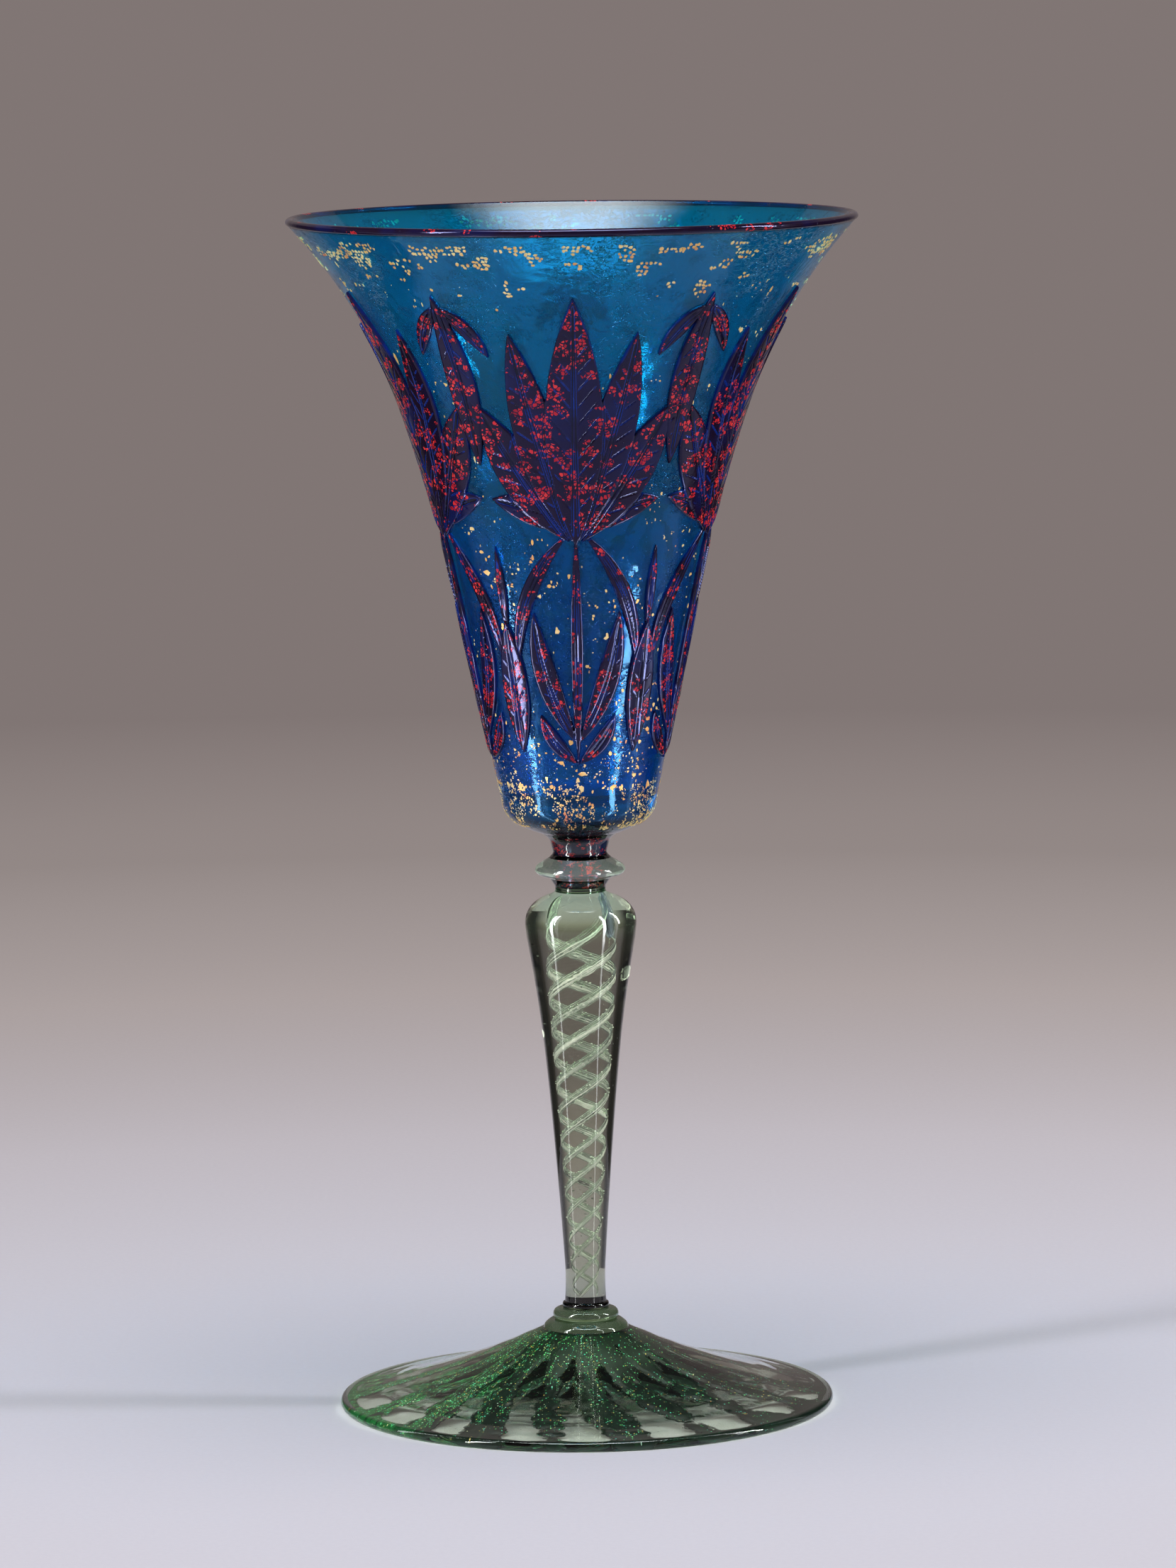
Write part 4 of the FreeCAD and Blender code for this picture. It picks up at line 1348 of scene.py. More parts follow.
@dataclass
class Cup:
    """The teal cup, its dark lip bead and the gold leaf on it."""

    wall: BowlWall
    frieze: Frieze
    steps: int = 372
    row: float = 0.85
    inner_row: float = 1.4
    in_bead: float = 0.3
    wobble: float = 0.05
    wobble_size: Pair = (6.0, 3.2)
    bead_radius: float = 55.86
    bead_height: float = 239.12
    bead_half_width: float = 1.05
    bead_half_height: float = 0.8
    leaf_cell: Pair = (0.86, 0.7)
    leaf_crack: float = 0.05
    leaf_rows: int = 15
    leaf_below_lip: float = 1.9
    leaf_kept_share: float = 0.86
    loose_count: int = 9000
    base_share: float = 0.34
    base_reach: float = 9.0
    loose_reach: float = 110.0
    loose_size: Pair = (0.09, 0.8)
    base_size: Pair = (0.08, 0.3)
    flake_sides: int = 6
    frieze_gap: float = 0.4
    lip_gap: float = 1.2
    leaf_lift: float = 0.03
    leaf_thickness: float = 0.04
    wave_fade: Pair = (8, 4)
    wave_scale: float = 38
    leaf_jitter: Pair = (0.22, 0.16)
    cell_spread: Pair = (0.8, 1.2)
    tear_edge: float = 0.59
    tear_thins: tuple = (3.0, 9.0, 0.19)
    belt_share: float = 0.2
    drift_edge: float = 0.43
    drift_thins: tuple = ((126, 150, 0.06), (160, 175, 0.07))
    drift_scale: float = 22
    fine_share: float = 0.6
    bit_shape: Pair = (0.6, 1.3)
    flake_ragged: Pair = (0.5, 1.25)
    flake_shift: float = 0.08

    def outer_line(self) -> Array:
        """The cup's outside from the axis to the lip."""
        wall = self.wall
        seat = (wall.seat_radius, wall.floor)
        bottom = (wall.bottom_radius, wall.floor + wall.bottom_rise)
        base = (wall.base_radius, wall.base_height)
        heights = np.arange(wall.base_height + self.row, wall.lip_height + self.in_bead, self.row)
        radius, _ = wall.at(heights)
        return np.vstack([
            [(0.0, wall.floor)], arc_line(seat, bottom, wall.seat_bulge, 4)[:-1],
            arc_line(bottom, base, wall.base_bulge, 9), np.stack([radius, heights], 1)])

    def inner_line(self) -> Array:
        """The cup's inside from the lip down to the middle of its dished floor."""
        wall = self.wall
        heights = np.arange(wall.lip_height + self.in_bead, wall.base_height + 1.0, -self.inner_row)
        radius, lean = wall.at(heights)
        side = np.stack([radius - wall.thickness * np.cos(lean), heights + wall.thickness * np.sin(lean)], 1)
        start = tuple(side[-1])
        floor = arc_line((-start[0], start[1]), start, -wall.floor_dip, 24)[::-1]
        floor = floor[floor[:, 0] > 0.4]
        return np.vstack([side, floor[1:], [(0.0, start[1] - wall.floor_dip)]])

    def build_cup(self, patterns: Patterns) -> Thing:
        """Makes the cup. Its outside has slow waves, which fade out at the base and the lip.

        Args:
            patterns: the shared node groups.

        Returns:
            The piece.
        """
        outer, inner = self.outer_line(), self.inner_line()
        line = np.vstack([outer, inner])
        points, rows = turned(line, self.steps)
        radius = np.hypot(points[:, 0], points[:, 1])
        angle = np.arctan2(points[:, 0], -points[:, 1])
        outside = np.arange(len(points)) < 1 + (len(outer) - 1) * self.steps
        base, lip, (base_fade, lip_fade) = self.wall.base_height, self.wall.lip_height, self.wave_fade
        fade = ramp(points[:, 2], base, base + base_fade) * ramp(points[:, 2], lip, lip - lip_fade)
        waves = patches(np.abs(angle) * self.wave_scale, points[:, 2], self.wobble_size, 3) - 0.5
        push = self.wobble * waves * fade * outside
        safe = np.maximum(radius, 1e-6)
        points[:, 0] += points[:, 0] / safe * push
        points[:, 1] += points[:, 1] / safe * push
        slots = [0] * (len(outer) - 1) + [1] * len(inner)
        cup = put_mesh("cup", points, list(zip(rows, slots)))
        for finish in (EtchedTeal("etched teal"), TealGlass("polished teal")):
            cup.data.materials.append(finish.build(patterns))
        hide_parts("bowl_cup")
        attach(cup, "root")
        return cup

    def build_bead(self, patterns: Patterns) -> Thing:
        """Makes the lip's bead."""
        bead = hoop("lip_bead", self.bead_radius, self.bead_height, self.bead_half_width,
                    self.bead_half_height)
        bead.data.materials.append(LIP_COBALT.build(patterns))
        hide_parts("lip_wrap")
        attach(bead, "root")
        return bead

    def torn_rows(self, rng: np.random.Generator) -> tuple[Array, ...]:
        """Crazed leaf under the lip: rows of cells, kept in torn patches that are wider than tall.

        Args:
            rng: the source of random numbers.

        Returns:
            The cells' angles, heights and half sizes.
        """
        middle_radius, coarse_share = 50, 0.78
        columns, lines = int(FULL_TURN * middle_radius / self.leaf_cell[0]), self.leaf_rows
        shift = rng.random((lines, 1))
        side_jitter, up_jitter = self.leaf_jitter
        number = np.arange(columns) + shift + rng.uniform(-side_jitter, side_jitter, (lines, columns))
        angle = (number * FULL_TURN / columns).ravel() % FULL_TURN - math.pi
        below = np.repeat(self.leaf_below_lip + np.arange(lines) * self.leaf_cell[1], columns)
        height = self.wall.lip_height - below + rng.uniform(-up_jitter, up_jitter, len(angle))
        across = angle * middle_radius
        tear = coarse_share * patches(across, height, (3.4, 1.5), 5)
        tear += (1 - coarse_share) * patches(across, height, (1.5, 1.1), 6)
        belt = patches(across, height, (15.0, 9.0), 9)
        low, high, thinning = self.tear_thins
        edge = self.tear_edge + thinning * ramp(below, low, high) - self.belt_share * (belt - 0.5)
        kept = (tear > edge) & (rng.random(len(tear)) < self.leaf_kept_share)
        size = np.array(self.leaf_cell) / 2 - self.leaf_crack / 2
        grown = rng.uniform(*self.cell_spread, (len(tear), 2)) * size
        return angle[kept], height[kept], grown[kept]

    def loose_bits(self, rng: np.random.Generator) -> tuple[Array, ...]:
        """Loose leaf: bits of many sizes, thick at the bowl's base and thin above it, in drifts.

        Args:
            rng: the source of random numbers.

        Returns:
            The bits' angles, heights and half sizes.
        """
        count = self.loose_count
        share = rng.random(count)
        near_base = rng.random(count) < self.base_share
        bottom = self.wall.floor + self.wall.bottom_rise + 0.2
        height = bottom + np.where(near_base, self.base_reach * share, self.loose_reach * share**1.5)
        angle = rng.uniform(-math.pi, math.pi, count)
        across = angle * self.drift_scale
        drift = 0.6 * patches(across, height, (4.2, 6.5), 15) + 0.4 * patches(across, height, (1.8, 1.4), 16)
        kept = drift > self.drift_edge + sum(
            thinning * ramp(height, low, high) for low, high, thinning in self.drift_thins)
        size = np.clip(rng.lognormal(-1.68, 0.58, count), *self.loose_size)
        fine = np.clip(size * self.fine_share, *self.base_size)
        size = np.where(height < self.wall.base_height + 4, fine, size)
        shape = rng.uniform(*self.bit_shape, count)
        half = np.stack([size * shape, size / shape], 1)
        return angle[kept], height[kept], half[kept]

    def build_leaf(self, patterns: Patterns) -> Thing:
        """Makes the gold leaf: thin flakes of uneven outline. None lies on the frieze.

        Args:
            patterns: the shared node groups.

        Returns:
            The piece.
        """
        rng = np.random.default_rng(21)
        wall = self.wall
        parts = [self.torn_rows(rng), self.loose_bits(rng)]
        centre_a, centre_h, half = (np.concatenate(list(each)) for each in zip(*parts))
        ready = self.frieze.covers(centre_a, centre_h) < -self.frieze_gap
        ready &= centre_h < wall.lip_height - self.lip_gap
        centre_a, centre_h, half = centre_a[ready], centre_h[ready], half[ready]
        reach = wall.at(centre_h)[0]
        count, sides = len(centre_a), self.flake_sides
        way = spokes(sides) + rng.random((count, 1))
        ragged = rng.uniform(*self.flake_ragged, (count, sides))
        shift = rng.uniform(-self.flake_shift, self.flake_shift, (count, 2))
        wide = centre_a[:, None] + (shift[:, :1] + half[:, :1] * ragged * np.cos(way)) / reach[:, None]
        tall = centre_h[:, None] + shift[:, 1:] + half[:, 1:] * ragged * np.sin(way)
        total = count * sides
        levels = [wall.round_place(wide.ravel(), tall.ravel(), np.full(total, lift))
                  for lift in (self.leaf_lift, self.leaf_lift + self.leaf_thickness)]
        start = (np.arange(count) * sides)[:, None]
        fan = np.array([(0, 1, 2, 3), (0, 3, 4, 5)])
        top = (start[:, :, None] + fan[None]).reshape(-1, 4) + total
        bottom = (start[:, :, None] + fan[None, :, ::-1]).reshape(-1, 4)
        ring, after = start + np.arange(sides), start + (np.arange(sides) + 1) % sides
        sides = np.stack([ring, after, after + total, ring + total], -1).reshape(-1, 4)
        flakes = put_mesh("gold_flakes", np.vstack(levels), [(np.vstack([top, bottom, sides]), 0)])
        flakes.data.materials.append(GoldLeaf().build(patterns))
        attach(flakes, "root")
        return flakes


# The neck and stem


@dataclass
class Neck:
    """The ruby heart under the cup, the clear skin over it, the merese and the button."""

    skin_line: tuple = ((6.2, 111.2), (5.45, 112.1), (5.65, 113.3), (6.25, 115.0), (7.7, 116.2))
    heart_line: tuple = ((0.0, 105.3), (2.6, 105.4), (3.3, 106.0), (3.5, 107.2), (3.45, 109.0), (3.6, 111.0),
                         (3.75, 112.4), (4.0, 113.6), (4.7, 115.2), (6.4, 116.6), (9.2, 117.6), (11.3, 118.6),
                         (12.6, 119.8), (12.0, 120.3), (6.0, 120.1), (0.0, 120.0))
    merese_line: tuple = ((6.1, 107.0), (7.1, 107.5), (8.7, 108.05), (9.08, 108.7), (8.85, 109.35),
                          (7.5, 110.4), (6.5, 111.0), (6.2, 111.2))
    button_line: tuple = ((4.95, 104.4), (5.06, 104.75), (5.1, 105.25), (5.6, 106.2), (6.1, 107.0))
    seam: tuple = (4.98, 104.45, 0.16, 0.128)

    def build(self, patterns: Patterns, pale: Material, clear: Material,
              joint: Material) -> None:
        """Makes the four pieces and the green seam under them.

        Args:
            patterns: the shared node groups.
            pale: the merese's glass.
            clear: the glass of the post's skin and of the button.
            joint: what the pieces have where they meet.
        """
        heart = lathe("ruby_heart", smooth_line(list(self.heart_line), 5), steps=160)
        heart.data.materials.append(HEART_RUBY.build(patterns))
        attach(heart, "root")
        seam = hoop("seam_ring", *self.seam)
        seam.data.materials.append(SEAM_GLASS.build(patterns))
        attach(seam, "root")
        for name, line, node, slot, glass in (
            ("post_skin", self.skin_line, "bowl_post", Slot.RUBY, clear),
            ("merese_ring", self.merese_line, "merese", Slot.PALE, pale),
            ("button", self.button_line, "neck_button", Slot.PALE, clear),
        ):
            piece = capped(name, smooth_line(list(line), 8), glass, joint)
            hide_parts(node)
            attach(piece, "root")


def capped(name: str, side: Array, glass: Material, joint: Material,
           steps: int = 192) -> Thing:
    """Makes a turned gather of glass whose flat ends are fused to its neighbours.

    Args:
        name: the piece's name.
        side: its outer line, from the lower end to the upper or the other way.
        glass: its glass.
        joint: what its ends have.
        steps: how many angles make a full turn.

    Returns:
        The piece.
    """
    line = np.vstack([[(0.0, side[0, 1])], side, [(0.0, side[-1, 1])]])
    slots = [1] + [0] * (len(side) - 1) + [1]
    piece = lathe(name, line, slots, steps)
    piece.data.materials.append(glass)
    piece.data.materials.append(joint)
    return piece


@dataclass(frozen=True)
class Thread:
    """An air thread, where its bundle has its full size: its place across, half width and half depth."""

    across: float
    width: float
    depth: float
    sides: int = 8
    tail: float = 0.0
    silver: bool = False


@dataclass(frozen=True)
class Drop:
    """The teardrop of air that starts a bundle, and its bearing from the front."""

    bearing: float
    reach: float
    foot: float
    top: float
    half_width: float


@dataclass
class Stem:
    """The drawn stem: a slender baluster of clear glass with three bundles of air threads in it."""

    line: tuple = ((4.2, 20.9), (4.06, 23.0), (4.02, 26.5), (4.3, 31.6), (5.1, 43.2), (6.0, 54.8),
                   (7.02, 66.4), (8.25, 77.9), (9.5, 86.6), (10.45, 92.3), (11.0, 95.6), (11.2, 98.1),
                   (10.95, 99.7), (9.95, 101.45), (7.9, 103.0), (5.7, 103.95), (4.95, 104.4))
    foot: float = 21.8
    full_height: float = 99.9
    low_pitch: float = 13.5
    high_pitch: float = 20.5
    first_bearing: float = 77.5
    full_reach: float = 4.6
    reach: tuple = ((21.8, 1.55), (30.0, 1.9), (43.0, 2.45), (60.0, 3.2), (80.0, 4.1), (92.0, 4.6),
                    (103.0, 4.5))
    ends: tuple = (98.4, 99.4, 96.2)
    threads: tuple = (
        Thread(0.46, 0.62, 0.18, 10, 0.0, True), Thread(-0.28, 0.17, 0.17), Thread(-0.68, 0.13, 0.13),
        Thread(-0.49, 0.05, 0.05, 6, 0.0, True), Thread(-1.0, 0.08, 0.08),
        Thread(-0.86, 0.04, 0.04, 6, 0.0, True), Thread(1.12, 0.09, 0.09), Thread(0.05, 0.06, 0.06, 6, 3.4))
    steps: int = 400
    top_taper: float = 5.0
    foot_taper: float = 1.5
    swell_least: float = 0.72
    swell_spread: float = 0.56
    beads: int = 46
    bead_size: Pair = (0.05, 0.15)
    seed_size: Pair = (0.06, 0.15)
    drops: tuple = (Drop(128.0, 4.3, 95.4, 102.9, 0.72), Drop(268.0, 4.1, 96.9, 101.6, 0.8))
    seeds: int = 90
    seed_heights: Pair = (24, 102)
    seed_margin: float = 0.7

    def thread(self, bundle: int, thread: Thread) -> tuple[Array, Array, Array]:
        """Shapes one thread as a flattened tube along a helix.

        The pitch grows evenly from foot to top, so the helix's angle is a full turn divided by that growth,
        times the logarithm of the pitch. The tube shrinks with the helix's reach, swells and thins like a row
        of beads, and runs out in a point at its top.

        Args:
            bundle: the bundle's number.
            thread: the thread.

        Returns:
            The points, the faces, and each point's length and bearing along the thread.
        """
        steps, smooth_steps, stagger, top_power, foot_power = self.steps, 20, 0.7, 0.8, 0.5
        end = self.ends[bundle] + thread.tail - stagger * abs(thread.across)
        height = self.foot + (end - self.foot) * np.linspace(0, 1, steps)
        knots = np.array(self.reach)
        reach = np.interp(height, knots[:, 0], knots[:, 1])
        window = 2 * smooth_steps + 1
        reach = np.convolve(np.pad(reach, smooth_steps, mode="edge"), np.ones(window) / window, mode="valid")
        size = reach / self.full_reach
        growth = (self.high_pitch - self.low_pitch) / (self.full_height - self.foot)
        pitch = self.low_pitch + growth * (height - self.foot)
        slant = pitch / np.hypot(pitch, FULL_TURN * reach)
        angle = FULL_TURN / growth * np.log(pitch / self.low_pitch) + math.radians(self.first_bearing)
        angle = angle + bundle * FULL_TURN / len(self.ends) + thread.across * size / (reach * slant)
        path = round_axis(reach, angle, height)
        ahead = np.gradient(path, axis=0)
        pace = np.linalg.norm(ahead, axis=1)[:, None]
        length = np.cumsum(pace[:, 0])
        ahead = ahead / pace
        seed = 40 + bundle * len(self.threads) + self.threads.index(thread)
        swell = self.swell_least + self.swell_spread * patches(length, length * 0, (0.5, 1.0), seed)
        closing = np.clip((end - height) / self.top_taper, 0, 1) ** top_power
        closing *= np.clip((height - self.foot) / self.foot_taper, 0, 1) ** foot_power
        out = np.stack([np.sin(angle), -np.cos(angle), np.zeros(steps)], 1)
        side = np.cross(ahead, out)
        side /= np.linalg.norm(side, axis=1)[:, None]
        out = np.cross(side, ahead)
        way = spokes(thread.sides)
        ring = (out[:, None] * np.cos(way)[None, :, None] * thread.depth
                + side[:, None] * np.sin(way)[None, :, None] * thread.width)
        points = path[:, None] + ring * (size * swell * closing + 1e-4)[:, None, None]
        fold = np.abs(way / math.pi - 1)
        spun = np.stack(np.broadcast_arrays(length[:, None] * MM + seed, fold[None], 0.0, 1.0), -1)
        return points.reshape(-1, 3), tube_faces(steps, thread.sides), spun.reshape(-1, 4)

    def drop(self, drop: Drop) -> tuple[Array, Array]:
        """Shapes a teardrop.

        Its width goes as the root of the way up times a power of the way left, and it leans inwards.

        Args:
            drop: the teardrop.

        Returns:
            Its points and faces.
        """
        steps, sides, fullness, tip_power, inward_lean = 28, 16, 2.7, 1.1, 1.3
        share = np.linspace(0, 1, steps)
        width = fullness * drop.half_width * np.sqrt(share) * (1 - share) ** tip_power + 1e-4
        turn = math.radians(drop.bearing)
        reach = drop.reach - inward_lean * share**2
        way = spokes(sides)
        across = reach[:, None] * math.sin(turn) + width[:, None] * np.cos(way)
        along = -reach[:, None] * math.cos(turn) - width[:, None] * np.sin(way)
        height = np.broadcast_to((drop.foot + (drop.top - drop.foot) * share)[:, None], across.shape)
        return np.stack([across, along, height], -1).reshape(-1, 3), tube_faces(steps, sides)[:, ::-1]

    def seed_bubbles(self) -> tuple[Array, Array]:
        """Tiny round bubbles at random places in the glass, each a ball of a few dozen faces."""
        rng = np.random.default_rng(12)
        knots = np.array(self.line)
        height = rng.uniform(*self.seed_heights, self.seeds)
        room = np.interp(height, knots[:, 1], knots[:, 0]) - self.seed_margin
        reach, turn = room * np.sqrt(rng.random(self.seeds)), rng.uniform(0, FULL_TURN, self.seeds)
        return self.balls(round_axis(reach, turn, height), rng.uniform(*self.seed_size, self.seeds))

    def painted_glint_beads(self) -> tuple[Array, Array]:
        """The swellings of the fine threads, painted pale as glints: small balls at random places along them.
        """
        rng = np.random.default_rng(14)
        middles = []
        for bundle in range(len(self.ends)):
            for thread in self.threads[1:5]:
                points, _, _ = self.thread(bundle, thread)
                rings = points.reshape(-1, thread.sides, 3)
                pick = rng.integers(len(rings) // 10, len(rings) - len(rings) // 20, self.beads)
                middles.append(rings[pick].mean(1) + rng.normal(0, 0.09, (self.beads, 3)))
        middle = np.vstack(middles)
        return self.balls(middle, rng.uniform(*self.bead_size, len(middle)))

    @staticmethod
    def balls(middle: Array, size: Array) -> tuple[Array, Array]:
        """Shapes balls: rings of points whose radius is the cosine of their lift.

        Args:
            middle: (n, 3) places.
            size: each ball's radius.

        Returns:
            The points and the faces.
        """
        count, levels, sides = len(middle), 6, 6
        lift = np.linspace(-math.pi / 2, math.pi / 2, levels)[:, None]
        way = spokes(sides)[None, :]
        round_off = np.maximum(np.cos(lift), 1e-3)
        ball = np.stack([round_off * np.cos(way), round_off * np.sin(way), np.sin(lift) + 0 * way], -1)
        points = middle[:, None] + ball.reshape(1, -1, 3) * size[:, None, None]
        faces = tube_faces(levels, sides)[None] + (np.arange(count) * levels * sides)[:, None, None]
        return points.reshape(-1, 3), faces.reshape(-1, 4)

    def build(self, patterns: Patterns, glass: Material, joint: Material) -> None:
        """Makes the stem's glass and its air threads.

        Args:
            patterns: the shared node groups.
            glass: the stem's glass.
            joint: what its ends have.
        """
        stem = capped("stem", smooth_line(list(self.line), 8), glass, joint)
        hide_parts("stem_casing")
        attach(stem, "root")
        air_number, silver_number, bead_glint_number, shaded_drop_number = range(4)
        shapes = [(*self.thread(bundle, thread), silver_number if thread.silver else air_number)
                  for bundle in range(len(self.ends)) for thread in self.threads]
        bodies = (*(self.drop(drop) for drop in self.drops), self.seed_bubbles())
        # The first teardrop takes the air tinted with painted shade.
        for (points, faces), finish in zip(bodies, (shaded_drop_number, air_number, air_number)):
            shapes.append((points, faces, np.zeros((len(points), 4)), finish))
        points, faces = self.painted_glint_beads()
        shapes.append((points, faces, np.full((len(points), 4), 0.5), bead_glint_number))
        counts = np.cumsum([0] + [len(shape[0]) for shape in shapes])
        groups = [(shape[1] + start, shape[3]) for shape, start in zip(shapes, counts)]
        air = put_mesh("air_threads", np.vstack([shape[0] for shape in shapes]), groups, 80.0)
        put_colours(air, "spun", np.vstack([shape[2] for shape in shapes]))
        for finish in (AirThread(), SilverThread(), PaintedBeadGlint(), SHADED_DROP):
            air.data.materials.append(finish.build(patterns))
        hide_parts("stem_core")
        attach(air, "root")


def tube_faces(steps: int, sides: int) -> Array:
    """The faces of a tube, closed by folding its end rings flat.

    Args:
        steps: how many rings it has.
        sides: how many points each ring has.

    Returns:
        (n, 4) corners.
    """
    number = np.arange(steps * sides).reshape(steps, sides)
    after = np.roll(number, -1, 1)
    walls = np.stack([number[:-1], after[:-1], after[1:], number[1:]], -1).reshape(-1, 4)
    half = np.arange(sides // 2 - 1)
    first = np.stack([number[0, half], number[0, half + 1], number[0, -half - 2], number[0, -half - 1]], 1)
    last = np.stack([number[-1, -half - 1], number[-1, -half - 2], number[-1, half + 1], number[-1, half]], 1)
    return np.vstack([walls, first[:, ::-1], last[:, ::-1]])


# The foot


@dataclass
class Foot:
    """The spread foot of clear glass over bands of glitter, and the bits that seat the stem on it."""

    radius: float = 49.9
    edge: float = 2.0
    hub_radius: float = 8.6
    hub_height: float = 15.6
    slope: float = 1.45
    rest: float = 46.7
    hollow: float = 8.6
    pontil: float = 7.4
    pontil_rise: float = 0.7
    bands: int = 18
    swirl: float = 0.22
    band_grid: tuple[int, int] = (720, 76)
    band_start: float = 7.9
    band_margin: float = 1.35
    band_least: float = 0.12
    band_spread: float = 0.75
    band_bias: float = 0.12
    band_gap_share: float = 0.4
    band_rise: float = 0.35
    band_rise_share: float = 0.25
    band_headroom: float = 0.6
    band_fills: tuple = ((22, 12, 2.2), (46.2, 47.6, 1.8))
    shift_share: float = 1.5
    fray_share: float = 0.9
    drift_share: float = 1.7
    smear_share: float = 0.8
    outside_drop: float = 4.0
    climb_span: Pair = (27, 10)
    fold_scale: float = 30
    ring_height: float = 0.14
    collar_line: tuple = ((8.6, 15.6), (8.35, 16.2), (7.75, 16.8), (7.1, 17.2), (6.1, 17.2))
    knop_line: tuple = ((6.1, 17.2), (6.5, 17.75), (6.62, 18.4), (6.3, 19.1), (5.5, 19.5), (4.6, 19.6))
    ring_line: tuple = ((4.6, 19.6), (4.72, 20.1), (4.6, 20.6), (4.2, 20.9))

    def top_at(self, radius: Array) -> Array:
        """The height of the foot's top: it falls from the hub to the edge ever more slowly."""
        share = np.clip((radius - self.hub_radius) / (self.radius - self.hub_radius), 0, 1)
        return self.edge + (self.hub_height - self.edge) * (1 - share) ** self.slope

    def under_at(self, radius: Array) -> Array:
        """The height of the underside: a straight cone up to the pontil's dish."""
        share = np.clip((self.rest - radius) / (self.rest - self.pontil), 0, 1)
        return self.hollow * share + self.pontil_rise * np.clip(1 - (radius / self.pontil) ** 2, 0, 1)

    def build_gather(self, glass: Material, joint: Material) -> None:
        """Makes the foot's clear glass, with slow rings in its top where it was spread.

        Args:
            glass: the foot's glass.
            joint: what it has where the collar sits.
        """
        under = np.linspace(0.0, self.rest, 70)
        edge = arc_line((self.radius - 0.9, 0.0), (self.radius - 1.2, self.edge + 0.12), -0.93, 12)
        edge[:, 0] = np.minimum(edge[:, 0], self.radius)
        over = np.linspace(self.radius - 1.6, self.hub_radius, 110)
        rings = (patches(over, over * 0, (2.6, 1.0), 35) - 0.5) * self.ring_height
        rings = rings * ramp(over, self.hub_radius, 12) * ramp(over, self.radius, 46)
        line = np.vstack([
            np.stack([under, self.under_at(under)], 1), edge,
            np.stack([over, self.top_at(over) + rings], 1), [(0.0, self.hub_height)]])
        piece = lathe("foot", line, [0] * (len(line) - 2) + [1], 360)
        piece.data.materials.append(glass)
        piece.data.materials.append(joint)
        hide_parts("foot_casing")
        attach(piece, "root")

    def build_bands(self, patterns: Patterns) -> None:
        """Makes the glitter: bands that swirl out from the hub and join in a ring at the edge.

        The field is the cosine of the angle times the number of bands, plus a share that is large at the hub
        and at the edge, plus ragged noise. Where it is over zero a band of glitter lies in the glass.

        Args:
            patterns: the shared node groups.
        """
        columns, rows = self.band_grid
        start, end = self.band_start, self.radius - self.band_margin

        def depth(turn: Array, reach: Array) -> Array:
            """The field at angles round the foot and distances from its middle."""
            share = (reach - start) / (end - start)
            left, back = reach * np.sin(turn), reach * np.cos(turn)
            shift = self.shift_share * (patches(left, back, (15.0, 15.0), 39) - 0.5)
            wave = np.cos(self.bands * (turn - self.swirl * share**1.5) + shift)
            folded = np.abs(turn - math.pi) * self.fold_scale
            fray = 0.5 * patches(folded, reach, (1.1, 5.0), 31)
            fray = fray + 0.5 * patches(left, back, (1.2, 1.2), 41) - 0.5
            drift = patches(left, back, (9.0, 9.0), 33) - 0.5
            smear = patches(folded, reach, (10.0, 1.8), 37) - 0.5
            filled = sum(share * ramp(reach, low, high) for low, high, share in self.band_fills)
            inner = self.outside_drop * (ramp(reach, start, start + 0.5) * ramp(reach, end, end - 0.4) - 1)
            ragged = self.fray_share * fray + self.drift_share * drift + self.smear_share * smear
            return wave + self.band_bias + filled + ragged + inner

        turn = np.linspace(0.0, FULL_TURN, columns)
        reach = np.linspace(start, end, rows)
        cut = cut_out(turn, reach[::-1], depth)
        turn_now, reach_now = cut.plane[:, 0], cut.plane[:, 1]
        field = depth(turn_now, reach_now)
        thick = self.band_least + self.band_spread * ramp(field, 0.0, 1.3) * ramp(reach_now, self.radius, 40)
        gap = self.top_at(reach_now) - self.under_at(reach_now)
        thick = np.minimum(thick, gap * self.band_gap_share)
        climb = ramp(reach_now, *self.climb_span)
        low_rise = np.minimum(self.band_rise, gap * self.band_rise_share)
        high_rise = gap - thick - self.band_headroom
        low = self.under_at(reach_now) + (low_rise * (1 - climb) + high_rise * climb)
        over, below = (round_axis(reach_now, turn_now, level) for level in (low + thick, low))
        points, groups = solid_of(cut, over, below)
        piece = put_mesh("glitter_bands", points, weld_seam(points, groups))
        put_colours(piece, "body", np.repeat(np.tile(field, 2), 4))
        piece.data.materials.append(Glitter("glitter green").build(patterns))
        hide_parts("foot_aventurine")
        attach(piece, "root")

    def build_bits(self, green: Material, pale: Material, joint: Material) -> None:
        """Makes the bits between the foot and the stem.

        Args:
            green: the glass of the collar and the knop.
            pale: the ring's glass.
            joint: what their ends have.
        """
        for name, line, node, slot, glass in (
            ("collar", self.collar_line, "foot_collar", Slot.PALE, green),
            ("knop", self.knop_line, "foot_knop", Slot.GLITTER, green),
            ("ring", self.ring_line, "stem_ring", Slot.PALE, pale),
        ):
            piece = capped(name, smooth_line(list(line), 7), glass, joint)
            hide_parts(node)
            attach(piece, "root")


# The studio


